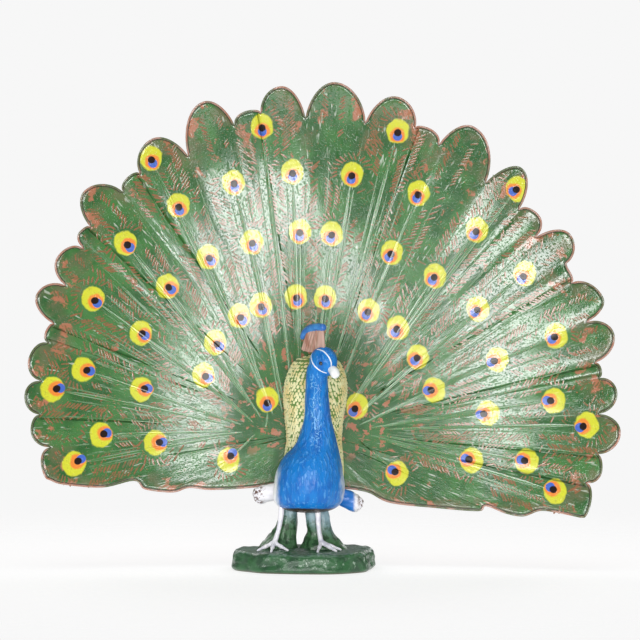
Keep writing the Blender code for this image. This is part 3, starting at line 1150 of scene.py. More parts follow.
@dataclass
class Train:
    """The raised train: a cupped plate, its quills and its barbs."""

    seat: Seat = Seat()
    view: View = View()
    reach: float = 77.4
    edge_thickness: float = 1.5
    root_thickness: float = 2.6
    cup_depth: float = 13.5
    rise: float = 0.16
    short_tail_reach: float = 30.0
    short_tail_rise: float = 0.8
    short_tail_limit: float = 0.62
    centre: Pair = (1.7, 29.7)
    quill_foot: Pair = (-1.7, 0.2)
    quill_spread: float = 10.4
    quill_half_width: float = 0.43
    shaft_half_width: float = 0.13
    hair_half_width: float = 0.11
    hairs: int = 110
    barb_pitch: float = 0.72
    barb_gap: float = 0.64
    barb_clearance: float = 1.0
    barb_arc_radius: float = 4.1
    tip_barb_offset: float = 1.9
    edge_clearance: float = 2.2
    eye_half_width: float = 2.45
    eye_half_height: float = 2.75
    eye_seed: int = 5
    hair_seed: int = 23
    barb_seed: int = 41
    tip_steps: int = 14
    hem_steps: int = 7
    inset: float = 0.07
    lip: Table = (
        (0.95, 0.0), (0.62, -0.03), (0.54, -0.14), (0.44, -0.14), (0.35, 0.04), (0.14, 0.04),
        (0.0, -0.08),
    )
    eyes: list[Eye] = field(default_factory=list)

    # The train's edge and faces

    def arc(self, gap: Pair, tip: Pair) -> list[Point]:
        """Rounds the edge from a gap up to a feather's tip.

        Args:
            gap: The gap's bearing and reach.
            tip: The tip's bearing and reach.

        Returns:
            The bearing, reach and height of the rib at each point.
        """
        depth = tip[1] - gap[1]
        lean = 0.5 + 0.25 * min(1.0, max(0.0, (depth - 4.0) / 5.0))
        rows = []
        for part in np.arange(self.tip_steps + 1) / self.tip_steps:
            turn = math.pi / 2 * part
            bearing = tip[0] + math.cos(turn) * (gap[0] - tip[0])
            rows.append((bearing, gap[1] + math.sin(turn) ** (2 * lean) * depth, part))
        return rows

    def outline(self) -> tuple[Array, Array]:
        """Follows the train's edge all round.

        Returns:
            The edge's points about the centre, and the rib's height at each.
        """
        rows: list[Point] = []
        x, drop = HEM[-1]
        before = (bearing_of(np.array([x, -drop])), math.hypot(x, drop))
        for bearing, reach, gap_bearing, gap_reach in FEATHERS:
            tip, after = (bearing, reach), (gap_bearing, gap_reach)
            rows += self.arc(before, tip)[:-1] + self.arc(after, tip)[:0:-1]
            before = after
        rows.append((*before, 0.0))
        polar = np.array(rows)
        turn = np.radians(polar[:, 0])
        edge = polar[:, 1:2] * np.stack([np.sin(turn), np.cos(turn)], axis=1)
        hem = catmull(HEM, (len(HEM) - 1) * self.hem_steps + 1)[:-1] * (1, -1)
        ribs = np.concatenate([polar[:, 2], np.zeros(len(hem))])
        return np.vstack([edge, hem]) / 100 * self.reach, ribs

    @staticmethod
    def inward(edge: Array) -> Array:
        """Finds the direction into the plate at each point of its edge.

        Args:
            edge: The edge's points in order.

        Returns:
            A unit direction for each.
        """
        ahead = np.roll(edge, -1, axis=0) - edge
        behind = edge - np.roll(edge, 1, axis=0)
        ahead /= np.linalg.norm(ahead, axis=1)[:, None]
        behind /= np.linalg.norm(behind, axis=1)[:, None]
        along = ahead + behind
        along /= np.linalg.norm(along, axis=1)[:, None]
        return np.stack([along[:, 1], -along[:, 0]], axis=1)

    def thickness(self, share: Array | float) -> Array | float:
        """Gives the plate's thickness on the way from its centre to its edge."""
        return self.root_thickness + share * (self.edge_thickness - self.root_thickness)

    def face(self, x: float, z: float) -> float:
        """Finds the depth of the plate's front at a place beside its centre.

        Args:
            x: How far right of the centre.
            z: How far above it.

        Returns:
            The depth.
        """
        round_seat = math.hypot(x / self.seat.half_width, z / self.seat.half_height)
        cup = 0.0
        if round_seat > 1.0:
            beyond = math.hypot(x, z) * (1.0 - 1.0 / round_seat)
            cup = self.cup_depth * (beyond / (self.reach - self.seat.half_height)) ** 2
        return self.seat.depth + self.seat.gap - cup + z * self.seat.slope()

    def from_view(self, bearing: float, reach: float) -> Array:
        """Finds the place on the plate that the camera sees at a bearing and reach.

        Args:
            bearing: Degrees from straight up about the centre, as seen.
            reach: Millimetres from the centre, as seen at the aim's depth.

        Returns:
            The place beside the plate's centre.
        """
        across, deep, high = self.view.aim
        aside = np.array([self.centre[0] - across, self.centre[1] - high])
        seen = reach * heading(bearing) + aside
        place = seen
        for _ in range(4):
            behind = self.face(*(place - aside)) - deep
            grow = (self.view.distance + behind) / self.view.distance
            drop = behind * math.tan(math.radians(self.view.elevation))
            place = seen * grow - (0.0, drop)
        return place - aside

    def root(self, bearing: float) -> Array:
        """Gives the place where a feather of that bearing springs."""
        return np.array(self.quill_foot) + (self.quill_spread * heading(bearing)[0], 0.0)

    def set_eyes(self) -> None:
        """Finds the place and the direction of every eye spot."""
        chance = np.random.default_rng(self.eye_seed)
        for row in EYE_ROWS:
            for bearing, reach in row.places:
                place = self.from_view(bearing, reach)
                along = place - self.root(bearing)
                along /= np.linalg.norm(along)
                slide = 0.28 + 0.8 * heading(bearing)[0] ** 2 * chance.random()
                iris = -slide * swung(along, chance.normal(0.0, 0.25))
                self.eyes.append(Eye(place, along, iris, row))

    # The plate

    def rows(self) -> list[dict[str, Array]]:
        """Lays out the plate's rings, from the front's middle round its edge to the back's.

        Returns:
            Each ring's flat points, and the values that they carry.
        """
        edge, ribs = self.outline()
        inward = self.inward(edge)
        edge = edge + inward * self.inset
        inner = edge + inward * self.lip[0][0]
        swell = 0.5 - 0.5 * np.cos(math.pi * ribs)
        rings: list[dict[str, Array]] = []

        def ring(flat: Array, **values: Array | float) -> None:
            """Adds a ring.

            Args:
                flat: Its points.
                **values: What they carry, each a number or one per point.
            """
            row = {"flat": flat}
            for key in ("forward", "share", "unpainted", "groove", "behind"):
                row[key] = np.broadcast_to(np.asarray(values.get(key, 0.0), float), len(flat))
            rings.append(row)

        def back_ring(skip: int, share: Array, back: Array) -> None:
            """Adds a ring of the back, at a share of the way out and a depth behind."""
            flat = inner[::skip] * share[:, None]
            ring(flat, forward=-back, share=share, unpainted=1.0, behind=1.0)

        zones = (
            (4, np.linspace(0.04, 0.28, 10)),
            (2, np.linspace(0.295, 0.55, 22)),
            (1, np.linspace(0.56, 1.0, 46)),
        )
        for skip, shares in zones:
            for share in shares:
                rib = self.rise * swell[::skip] * min(1.0, max(0.0, (share - 0.6) / 0.38))
                ring(inner[::skip] * share, forward=rib, share=share * 0.985)
        for depth, height in self.lip[1:]:
            # dark flags the lip's groove, which the paint darkens as painted shade.
            bare, dark = float(depth < 0.4), float(0.4 < depth < 0.6)
            high = self.rise * swell + height
            ring(edge + inward * depth, forward=high, share=1.0, unpainted=bare, groove=dark)
        thick = self.thickness(1.0)
        for depth, back in ((0.02, 0.4), (0.14, 0.85), (0.32, thick - 0.15), (0.6, thick)):
            ring(edge + inward * depth, forward=-back, share=1.0, unpainted=1.0)
        half = ribs[::2]
        tail = self.short_tail_reach * (1 + 0.05 * half)
        tail = np.minimum(tail / np.linalg.norm(inner[::2], axis=1), self.short_tail_limit)
        for part in (0.96, 0.88, 0.78, 0.67, 0.56, 0.45, 0.34, 0.23, 0.12, 0.03):
            share = tail + (0.99 - tail) * part
            back_ring(2, share, self.thickness(share) + 0.22 * half**3 - 0.2 * (1 - half) ** 4)
        for part, rise in ((1.0, 0.0), (0.97, 0.5), (0.91, 0.9), (0.82, 1.0), (0.62, 1.0)):
            back = self.thickness(tail * part) + rise * self.short_tail_rise
            back_ring(2, tail * part, back - 0.15 * (1 - half))
        for part in (0.45, 0.28, 0.12, 0.03):
            share = (tail * part)[::2]
            back_ring(4, share, self.thickness(share) + self.short_tail_rise)
        return rings

    def relief(self, flat: Array, share: Array) -> Array:
        """Works out the long soft folds that run along the feathers.

        Args:
            flat: Places beside the centre.
            share: How far out each is.

        Returns:
            The folds' height in millimetres.
        """
        bearing = np.arctan2(flat[:, 0], flat[:, 1])
        reach = np.linalg.norm(flat, axis=1)
        polar = np.stack([bearing * 34.0, reach * 0.12, np.zeros_like(reach)], axis=1)
        folds = roughness_at(polar, (0.34, 1.0, 1.0), 3.0)
        fine = roughness_at(polar, (0.9, 2.0, 1.0), 9.0)
        fade = np.clip((share - 0.12) / 0.25, 0, 1) * np.clip((0.99 - share) / 0.12, 0, 1)
        return (0.035 * folds + 0.012 * fine) * fade

    def reaches(self, flat: Array) -> Array:
        """Gives how far places are from each eye's middle, in that eye's radii."""
        beside = flat[None] - np.array([eye.place for eye in self.eyes])[:, None]
        return np.linalg.norm(beside / (self.eye_half_width, self.eye_half_height), axis=2)

    def store_eyes(self, mesh: bpy.types.Mesh, flat: Array) -> None:
        """Keeps each face corner's place on the eye that is nearest to its face.

        Args:
            mesh: The mesh.
            flat: Its points beside the centre.
        """
        loops, faces = len(mesh.loops), len(mesh.polygons)
        corner, total = np.empty(loops, np.int32), np.empty(faces, np.int32)
        mesh.loops.foreach_get("vertex_index", corner)
        mesh.polygons.foreach_get("loop_total", total)
        face = np.repeat(np.arange(faces), total)
        middle = np.zeros((faces, 2))
        np.add.at(middle, face, flat[corner])
        middle /= total[:, None]
        nearest = np.argmin(self.reaches(middle), axis=0)[face]
        centres = np.array([eye.place for eye in self.eyes])[nearest]
        irises = np.array([eye.iris for eye in self.eyes])[nearest]
        for name, values in (("eye", flat[corner] - centres), ("iris", irises)):
            store(mesh, name, np.hstack([values, np.zeros((loops, 1))]), "CORNER")

    @staticmethod
    def between(low: int, count: int, high: int, other: int) -> list[tuple[int, ...]]:
        """Joins two rings with faces, where one may have twice as many points.

        Args:
            low: The first ring's first point.
            count: How many points it has.
            high: The second ring's first point.
            other: How many points it has.

        Returns:
            The faces.
        """
        faces: list[tuple[int, ...]] = []
        for i in range(min(count, other)):
            j, mid = (i + 1) % min(count, other), 2 * i + 1
            after = (2 * i + 2) % max(count, other)
            if count == other:
                faces.append((low + i, high + i, high + j, low + j))
            elif other > count:
                faces.append((low + i, high + 2 * i, high + mid, low + j))
                faces.append((low + j, high + mid, high + after))
            else:
                faces.append((high + i, high + j, low + mid, low + 2 * i))
                faces.append((high + j, low + after, low + mid))
        return faces

    def sheet(self) -> Piece:
        """Makes the plate's flat pattern, with its relief kept as attributes.

        Returns:
            The pattern, which the cupping tree takes.
        """
        rings = self.rows()
        counts = [len(row["flat"]) for row in rings]
        starts = [int(start) for start in np.cumsum([0] + counts)]
        flat = np.vstack([row["flat"] for row in rings] + [np.zeros((2, 2))])
        kept = {}
        for key in ("forward", "share", "unpainted", "groove", "behind"):
            kept[key] = np.concatenate([row[key] for row in rings] + [np.zeros(2)])
        kept["forward"][-1] = -self.root_thickness - self.short_tail_rise
        kept["unpainted"][-1] = kept["behind"][-1] = 1.0
        faces: list[tuple[int, ...]] = []
        for k in range(len(rings) - 1):
            faces += self.between(starts[k], counts[k], starts[k + 1], counts[k + 1])
        front, back = starts[-1], starts[-1] + 1
        faces += [(i, (i + 1) % counts[0], front) for i in range(counts[0])]
        last, count = starts[-2], counts[-1]
        faces += [(last + (i + 1) % count, last + i, back) for i in range(count)]
        folds = self.relief(flat, kept["share"])
        kept["forward"] = kept["forward"] + np.where(kept["behind"] < 0.5, folds, 0.6 * folds)
        bearing = np.arctan2(flat[:, 0], flat[:, 1])
        reach = np.linalg.norm(flat, axis=1)
        kept["polar"] = np.stack([bearing * 40.0, reach, kept["behind"] * 50], axis=1)
        points = np.stack([flat[:, 0], np.zeros(len(flat)), flat[:, 1]], axis=1)
        mesh = bpy.data.meshes.new("train_sheet")
        mesh.from_pydata((points * MM).tolist(), [], faces)
        for key, values in kept.items():
            store(mesh, key, values)
        self.store_eyes(mesh, flat)
        return placed("train_sheet", mesh)

    def cup_tree(self) -> GeometryTree:
        """Builds the tree that cups the flat sheet and leans it back.

        Returns:
            The tree.
        """
        sizes = {
            "Centre Across": self.centre[0] * MM,
            "Centre Height": self.centre[1] * MM,
            "Seat Depth": (self.seat.depth + self.seat.gap) * MM,
            "Seat Half Width": self.seat.half_width * MM,
            "Seat Half Height": self.seat.half_height * MM,
            "Seat Slope": self.seat.slope(),
            "Cup Depth": self.cup_depth * MM,
            "Cup Reach": (self.reach - self.seat.half_height) * MM,
        }
        tree = GeometryTree("cupped_train", sizes)
        given = tree.given
        place = tree.out("GeometryNodeInputPosition")
        x, z = tree.axis(place, 0), tree.axis(place, 2)
        wide, high = x / given("Seat Half Width"), z / given("Seat Half Height")
        round_seat = tree.math("SQRT", wide * wide + high * high)
        past = tree.math("DIVIDE", 1.0, tree.most(round_seat, 1.0))
        beyond = tree.vector("LENGTH", place) * (1.0 - past) / given("Cup Reach")
        cup = beyond * beyond * given("Cup Depth")
        depth = given("Seat Depth") + z * given("Seat Slope") - cup - tree.read("forward") * MM
        across, height = x + given("Centre Across"), z + given("Centre Height")
        tree.finish(tree.moved(given("Geometry"), across, depth, height))
        return tree

    def plate(self) -> Piece:
        """Makes the cupped plate with its painted front."""
        paint = TrainPaint("train_paint_front", relief=0.01, hollow_coat=0.3, **GLOSS)
        return self.cup_tree().grow("train_plate", self.sheet(), paint)

    # Quills

    def spoke(
        self, bearing: float, reach: float, first: float, last: float, half_width: float
    ) -> tuple[Array, Array, float]:
        """Lays a straight shaft or hair along a feather.

        Args:
            bearing: The feather's bearing.
            reach: How far its tip is from the centre.
            first: Where the shaft starts, as a share of the way to the tip.
            last: Where it ends.
            half_width: Its half width.

        Returns:
            Its start, its end and its half width.
        """
        root = self.root(bearing)
        way = heading(bearing) * reach - root
        return root + way * first, root + way * last, half_width

    def quill_paths(self) -> list[tuple[Array, Array, float]]:
        """Lays out the quills, the shafts and the hairs, beside the centre.

        Returns:
            The start, the end and the half width of each.
        """
        paths = []
        for eye in self.eyes:
            root = self.root(bearing_of(eye.place))
            end = eye.place - eye.along * self.eye_half_width
            paths.append((root + (end - root) * 0.16, end, self.quill_half_width))
        for bearing, _, gap_bearing, gap_reach in FEATHERS:
            reach = gap_reach / 100 * self.reach
            for turn, share in ((gap_bearing, 0.93), (bearing, 0.86)):
                paths.append(self.spoke(turn, reach, 0.3, share, self.shaft_half_width))
        chance = np.random.default_rng(self.hair_seed)
        for _ in range(self.hairs):
            turn, first, last = chance.random(3)
            first, last = 0.12 + 0.3 * first, 0.42 + 0.3 * last
            bearing = -104 + 212 * turn
            paths.append(self.spoke(bearing, self.reach, first, last, self.hair_half_width))
        return paths

    def eye_gap(self, place: Array) -> float:
        """Says how far a place is from the nearest eye's middle, in eye radii."""
        return float(self.reaches(place[None]).min())

    def quill_tree(self) -> GeometryTree:
        """Builds the tree that sweeps a section with two low ridges along each quill.

        Returns:
            The tree, which reads each point's width and the direction up.
        """
        tree = GeometryTree("quill_sweep", {"Section Width": 1.0 * MM})
        width = tree.given("Section Width")
        ring = {"Resolution": 16, "Radius": width}
        section = tree.out("GeometryNodeCurvePrimitiveCircle", ring, mode="RADIUS")
        place = tree.out("GeometryNodeInputPosition")
        x, y = tree.axis(place, 0), tree.axis(place, 1)
        wide = y / width
        section = tree.moved(section, x * (wide * wide * 0.9 + 0.3), y, 0.0)
        level = tree.math("ABSOLUTE", x) / width
        inputs = {"Geometry": section, "Name": "ridge", "Value": level.step(0.4, 0.5)}
        section = tree.out("GeometryNodeStoreNamedAttribute", inputs, domain="POINT")
        line = tree.out("GeometryNodeMeshToCurve", {0: tree.given("Geometry")})
        upright = {"Curve": line, "Normal": tree.read("up", "FLOAT_VECTOR")}
        line = tree.out("GeometryNodeSetCurveNormal", upright, mode="FREE")
        inputs = {"Curve": line, "Profile Curve": section}
        inputs |= {"Scale": tree.read("width"), "Fill Caps": True}
        tree.finish(tree.out("GeometryNodeCurveToMesh", inputs))
        return tree

    def quills(self, surface: BVHTree) -> Piece:
        """Makes the raised quills that run from the root to the eye spots.

        Args:
            surface: The plate's surface, which they lie on.

        Returns:
            The quills as one piece.
        """
        places, ups, widths, edges = [], [], [], []
        for index, (start, end, width) in enumerate(self.quill_paths()):
            length = float(np.linalg.norm(end - start))
            count = max(6, int(length / 1.3))
            bend = roughness_at(np.array([[*start, index * 0.7]]), (0.4, 0.4, 1.0), 5.0)[0] * 0.5
            side = right_of(end - start) / length
            first = len(places)
            for part in np.arange(count + 1) / count:
                flat = start + (end - start) * part + side * bend * math.sin(math.pi * part)
                met = seen_on(surface, *(flat + self.centre))
                if met is None or (width < self.quill_half_width and self.eye_gap(flat) < 1.2):
                    first = len(places)
                    continue
                grown = min(1.0, 0.35 + 0.65 * float(np.linalg.norm(flat)) / 45.0)
                radius = width * grown * min(1.0, 0.25 + 6 * (1 - part), 0.3 + 8 * part)
                places.append((met[0] - met[1] * 0.1 * radius) * MM)
                ups.append(met[1])
                widths.append(radius)
                if len(places) - 1 > first:
                    edges.append((len(places) - 2, len(places) - 1))
        paths = carriers("quill_paths", places, edges, up=ups, width=widths)
        paint = QuillPaint("train_paint_quills", relief=0.02, **GLOSS)
        piece = self.quill_tree().grow("train_quills", paths, paint)
        found, _ = points_of(piece)
        self.store_eyes(piece.data, found[:, (0, 2)] - self.centre)
        return piece

    # Barbs

    def barb_rows(self) -> list[tuple[Array, Array, float]]:
        """Lays out the barbs in arcs over the eye spots and in rows beside them.

        Returns:
            Each barb's middle, direction and length, beside the centre.
        """
        arcs, barbs = [], []
        for eye in self.eyes:
            reach = float(np.linalg.norm(eye.place))
            for side in Side:
                lean = swung(eye.along, side.value * math.radians(50))
                beside = side.value * right_of(eye.along) * eye.row.half_width
                for near, length, start in ((0.8, 2.1, -1.5), (0.44, 1.6, 3.4)):
                    for down in np.arange(start, eye.row.barbs_down, self.barb_pitch):
                        narrow = (reach - down) / reach
                        middle = eye.place - eye.along * down + beside * near * narrow
                        barbs.append((middle, lean, length))
            for turn in np.arange(-105, 106, 13.0):
                outward = swung(eye.along, math.radians(turn))
                lean = swung(eye.along, math.radians(turn + 22 * math.copysign(1, turn)))
                arcs.append((eye.place + outward * self.barb_arc_radius, lean, 1.6))
        for bearing, reach, _, _ in FEATHERS:
            along = heading(bearing)
            tip = along * reach / 100 * self.reach
            for side in Side:
                lean = swung(along, side.value * 0.85)
                for down in np.arange(3.4, 14.0, self.barb_pitch):
                    middle = tip - along * down + side.value * right_of(along) * self.tip_barb_offset
                    barbs.append((middle, lean, 1.5))
        return arcs + barbs

    def barb_points(self, surface: BVHTree) -> Piece:
        """Makes the points that carry the barbs, in patches and clear of each other.

        Args:
            surface: The plate's surface, which they lie on.

        Returns:
            The points, with their directions and half sizes.
        """
        chance = np.random.default_rng(self.barb_seed)
        edge, _ = self.outline()
        bearings = np.degrees(np.arctan2(edge[:, 0], edge[:, 1]))
        order = np.argsort(bearings)
        limits = (bearings[order], np.linalg.norm(edge, axis=1)[order])
        places, leans, ups, sizes = [], [], [], []
        kept, ways = np.full((1, 2), 1e3), np.array([[1.0, 0.0]])
        for middle, lean, length in self.barb_rows():
            spot = middle + chance.normal(0.0, 0.05, 2)
            keep, turn, longer, wide = chance.random(4)
            limit = np.interp(bearing_of(spot), *limits) - self.edge_clearance
            cloud = noise.noise(Vector((spot[0] * 0.13, spot[1] * 0.13, 2.0)))
            near_eye = self.eye_gap(spot) < 1.28
            if np.linalg.norm(spot) > limit or near_eye or cloud * 1.4 + keep < 0.1:
                continue
            apart = np.linalg.norm(kept - spot, axis=1)
            needed = np.where(np.abs(ways @ lean) > 0.88, self.barb_gap, self.barb_clearance)
            if (apart < needed).any():
                continue
            kept, ways = np.vstack([kept, spot]), np.vstack([ways, lean])
            met = seen_on(surface, *(spot + self.centre))
            if met is None:
                continue
            place, normal = met
            bent = swung(lean, (0.5 - turn) * 0.22)
            flat = Vector((bent[0], 0.0, bent[1]))
            flat -= normal * flat.dot(normal)
            places.append(place * MM)
            leans.append(flat.normalized())
            ups.append(normal)
            half = (length * (0.9 + 0.5 * longer) / 2, 0.17 + 0.05 * wide, 0.02)
            sizes.append(np.array(half) * MM)
        return carriers("barb_points", places, [], lean=leans, up=ups, size=sizes)

    def barbs(self, surface: BVHTree) -> Piece:
        """Makes the raised barbs where bare plastic shows through the paint.

        Args:
            surface: The plate's surface, which they lie on.

        Returns:
            The barbs as one piece.
        """
        paint = replace(BarbPaint("train_paint_barbs", relief=0.02, **GLOSS), coat=0.85)
        tree = scatter_tree("barb_scatter", Bead.STROKE)
        return tree.grow("train_barbs", self.barb_points(surface), paint)

    def build(self) -> None:
        """Makes the train's pieces and dresses them."""
        self.set_eyes()
        plate = self.plate()
        surface = surface_of(plate)
        for piece in (plate, self.quills(surface), self.barbs(surface)):
            dress(piece, Slot.TRAIN, Node.TRAIN)


class Bead(Enum):
    """What is set on each point: a flat stroke or a round bead."""

    STROKE = "stroke"
    ROUND = "round"


def scatter_tree(name: str, kind: Bead) -> GeometryTree:
    """Builds the tree that sets a small blunt bead on each point.

    Args:
        name: The tree's name.
        kind: The bead's shape.

    Returns:
        The tree, which reads the directions lean and up, and the half sizes.
    """
    tree = GeometryTree(name, {"Bead Size": 1.0})
    size = tree.given("Bead Size")
    if kind is Bead.STROKE:
        bead = {"Vertices": 10, "Radius": size, "Depth": size * 2.0}
        shape = tree.out("GeometryNodeMeshCylinder", bead)
    else:
        bead = {"Radius": size, "Subdivisions": 2}
        shape = tree.out("GeometryNodeMeshIcoSphere", bead)
    spot = tree.out("GeometryNodeInputPosition")
    x, y, z = (tree.axis(spot, index) for index in range(3))
    square = x * x
    fuller = tree.math("SQRT", square * square + square + 1.0)
    shape = tree.moved(shape, x, y * fuller, z * fuller)
    axes = {0: tree.read("up", "FLOAT_VECTOR"), 1: tree.read("lean", "FLOAT_VECTOR")}
    turn = tree.out("FunctionNodeAxesToRotation", axes, primary_axis="Z", secondary_axis="X")
    inputs = {"Points": tree.given("Geometry"), "Instance": shape, "Rotation": turn}
    inputs["Scale"] = tree.read("size", "FLOAT_VECTOR")
    tree.finish(tree.out("GeometryNodeInstanceOnPoints", inputs), kind is Bead.ROUND)
    return tree


# Bird


def layered(places: Array, *layers: tuple[Point, float, float]) -> Array:
    """Adds up layers of noise, each by its scale, its seed and its height."""
    return sum(roughness_at(places, scale, seed) * height for scale, seed, height in layers)


def level_rings(
    rows: Sequence[Sequence[float]], count: int, sides: int, power: float, floor: float
) -> Array:
    """Gives smooth level rings through a table of oval sections.

    Args:
        rows: Height, centre across and deep, half width and half depth.
        count: How many rings to make.
        sides: How many points each ring has.
        power: The oval's squareness, where 1 is an ellipse.
        floor: The height that the rows' heights start from.

    Returns:
        The rings' points.
    """
    turn = circle(sides)
    across, deep = rounded(np.cos(turn), power), rounded(np.sin(turn), power)
    rings = []
    for height, x, y, half_x, half_y in catmull(rows, count):
        level = np.full(sides, floor + height)
        rings.append(np.stack([x + half_x * across, y + half_y * deep, level], axis=1))
    return np.array(rings)


@dataclass
class Base:
    """The grassy base that the bird stands on."""

    length: float = 31.6
    depth: float = 25.0
    middle: float = 0.47
    end_rise: float = 0.15
    sides: int = 240
    profile: Table = (
        (0.95, 0.0, 0.0), (0.97, 0.25, 0.0), (0.99, 0.7, 0.0), (0.985, 1.6, 0.0),
        (0.98, 2.6, 0.0), (0.965, 3.6, 0.7), (0.93, 4.2, 1.0), (0.88, 4.4, 1.0),
        (0.78, 4.45, 0.7), (0.6, 4.6, 0.2), (0.25, 4.8, 0.0), (0.02, 4.8, 0.0),
    )

    def build(self) -> Piece:
        """Makes the base with its ridged sides and rough top.

        Returns:
            The piece.
        """
        turn = circle(self.sides)
        wave = 1 + 0.05 * np.sin(3 * turn - math.pi / 4) + 0.015 * np.sin(8 * turn)
        x = self.length / 2 * rounded(np.cos(turn), 0.75) * wave
        y = self.depth / 2 * rounded(np.sin(turn), 0.75) * wave
        ridge = self.end_rise * (np.cos(turn) ** 2 + 0.4 * np.sin(8 * turn))
        rings = []
        for share, height, ridged in catmull(self.profile, 56):
            level = height + ridged * ridge
            rings.append(np.stack([x * share + self.middle, y * share, level], axis=1))
        piece = new_piece("base", loft(rings), BasePaint("bird_paint_base", relief=0.08))
        places, _ = points_of(piece)
        rocks = (((0.28, 0.28, 0.35), 4.0, 0.35), ((0.7, 0.7, 0.5), 8.0, 0.14))
        heights = layered(places, *rocks, ((0.5, 0.5, 0.9), 2.0, 0.15))
        slanted = np.sin((places[:, 0] * 0.6 + places[:, 1] * 0.5 + places[:, 2] * 0.5) * 3.6)
        heights += 0.13 * slanted * np.clip((places[:, 0] - 11.5) / 2.5, 0, 1)
        raise_points(piece, (heights - 0.2) * np.clip((places[:, 2] - 0.3) / 1.5, 0, 1))
        return piece


@dataclass
class Grass:
    """The two clumps of grass that hold the bird up behind its legs."""

    floor: float = 4.0
    left: Table = (
        (-1.2, -5.6, 0.0, 4.9, 4.4), (1.0, -5.3, -0.1, 4.2, 3.6), (2.6, -4.8, -0.2, 3.5, 3.0),
        (4.3, -4.2, -0.3, 2.9, 2.6), (6.6, -3.4, -0.4, 2.1, 2.3), (8.8, -3.0, -0.4, 1.75, 2.2),
        (12.0, -2.8, -0.4, 1.7, 2.2),
    )
    right: Table = (
        (-1.2, 4.6, 0.2, 6.0, 4.6), (1.0, 4.2, 0.1, 4.9, 3.8), (2.3, 4.0, 0.0, 3.9, 3.1),
        (4.0, 3.9, -0.2, 3.0, 2.6), (6.0, 3.4, -0.3, 2.75, 2.3), (8.4, 2.8, -0.4, 2.5, 2.2),
        (12.0, 2.8, -0.4, 2.4, 2.2),
    )

    def build(self) -> Piece:
        """Makes both clumps, with upright blades in relief.

        Returns:
            The piece.
        """
        clumps = [loft(level_rings(rows, 60, 72, 0.85, self.floor)) for rows in (self.left, self.right)]
        paint = FadedPaint(
            "bird_paint_grass", axis=2, lean=0.3, start=8.6, end=13.4, low=display(62, 108, 66),
            high=display(138, 168, 180), speck=display(36, 74, 42), speck_start=14.0,
            speck_end=9.0, speck_scale=0.8, stretch=(1.6, 1.6, 0.3), relief=0.08,
        )
        piece = new_piece("grass_clumps", join(clumps), paint)
        places, _ = points_of(piece)
        blades = layered(places, ((1.1, 1.1, 0.12), 6.0, 0.35), ((0.4, 0.4, 0.3), 1.0, 0.4))
        raise_points(piece, blades - 0.05)
        return piece


@dataclass
class Legs:
    """The bird's legs with their four toes each."""

    floor: float = 4.2
    leg_radius: float = 0.62
    toe_radius: float = 0.46
    left_leg: Table = ((-4.5, -3.4, 11.4), (-4.9, -3.6, 7.0), (-5.4, -4.0, 4.4), (-6.3, -4.5, 1.7))
    right_leg: Table = ((3.2, -3.4, 11.4), (3.3, -3.6, 7.0), (3.5, -4.0, 4.4), (4.0, -4.5, 1.7))
    left_toes: Table = ((-10.0, -6.4, 0.5), (-6.9, -8.2, 0.3), (-3.1, -6.6, 0.5), (-5.3, -2.0, 0.9))
    right_toes: Table = ((3.1, -8.2, 0.3), (8.4, -5.6, 0.6), (7.4, -7.4, 0.4), (3.6, -2.0, 0.9))

    def build(self) -> Piece:
        """Makes both legs with their toes as one skin.

        Returns:
            The piece.
        """
        shapes = []
        for leg, toes in ((self.left_leg, self.left_toes), (self.right_leg, self.right_toes)):
            path = catmull(leg, 26) + (0, 0, self.floor)
            shapes.append(tube(path, self.leg_radius * swelling((1.12, 0.95, 0.82, 1.0), 26), 16))
            ankle = path[-1]
            for toe in toes:
                end = np.array(toe) + (0, 0, self.floor - 0.15)
                middle = (ankle + end) / 2 + (0, 0, 0.12)
                line = catmull((ankle + (0, 0, 0.3), middle, end), 18)
                knuckles = 1 + 0.1 * np.sin(np.linspace(0, 5 * math.pi, 18))
                radii = self.toe_radius * swelling((1.15, 0.95, 0.5), 18) * knuckles
                shapes.append(tube(line, radii, 14))
        white, shade = display(246, 244, 250), display(220, 220, 232)
        paint = MottledPaint("bird_paint_legs", main=white, second=shade, patch_scale=0.7)
        return fused("legs", shapes, 0.15, 4, paint)


@dataclass(frozen=True)
class Head:
    """The head's place and size, turned towards the beak."""

    centre: Point = (4.45, -7.4, 45.6)
    length: float = 6.9
    width: float = 5.2
    depth: float = 6.6
    turn: float = 46.0

    def swing(self, along: Array | float, across: Array | float) -> tuple:
        """Turns distances from the head's own directions into X and Y.

        Args:
            along: How far towards the beak.
            across: How far to the bird's left.

        Returns:
            The distances along X and Y.
        """
        turn = math.radians(self.turn)
        x = along * math.cos(turn) + across * math.sin(turn)
        return x, across * math.cos(turn) - along * math.sin(turn)

    def egg(self) -> Shape:
        """Makes the head's oval.

        Returns:
            The closed shape.
        """
        rings = oval((self.length / 2, self.width / 2, self.depth / 2), 26, 40, 0.97)
        x, y = self.swing(rings[..., 0], rings[..., 1])
        return loft(np.stack([x, y, rings[..., 2]], axis=-1) + self.centre)

    def mirrored(self, place: Array) -> Array:
        """Gives the place on the head's other side."""
        side = np.array([*self.swing(0.0, 1.0), 0.0])
        return place - 2 * side * float((place - np.array(self.centre)) @ side)


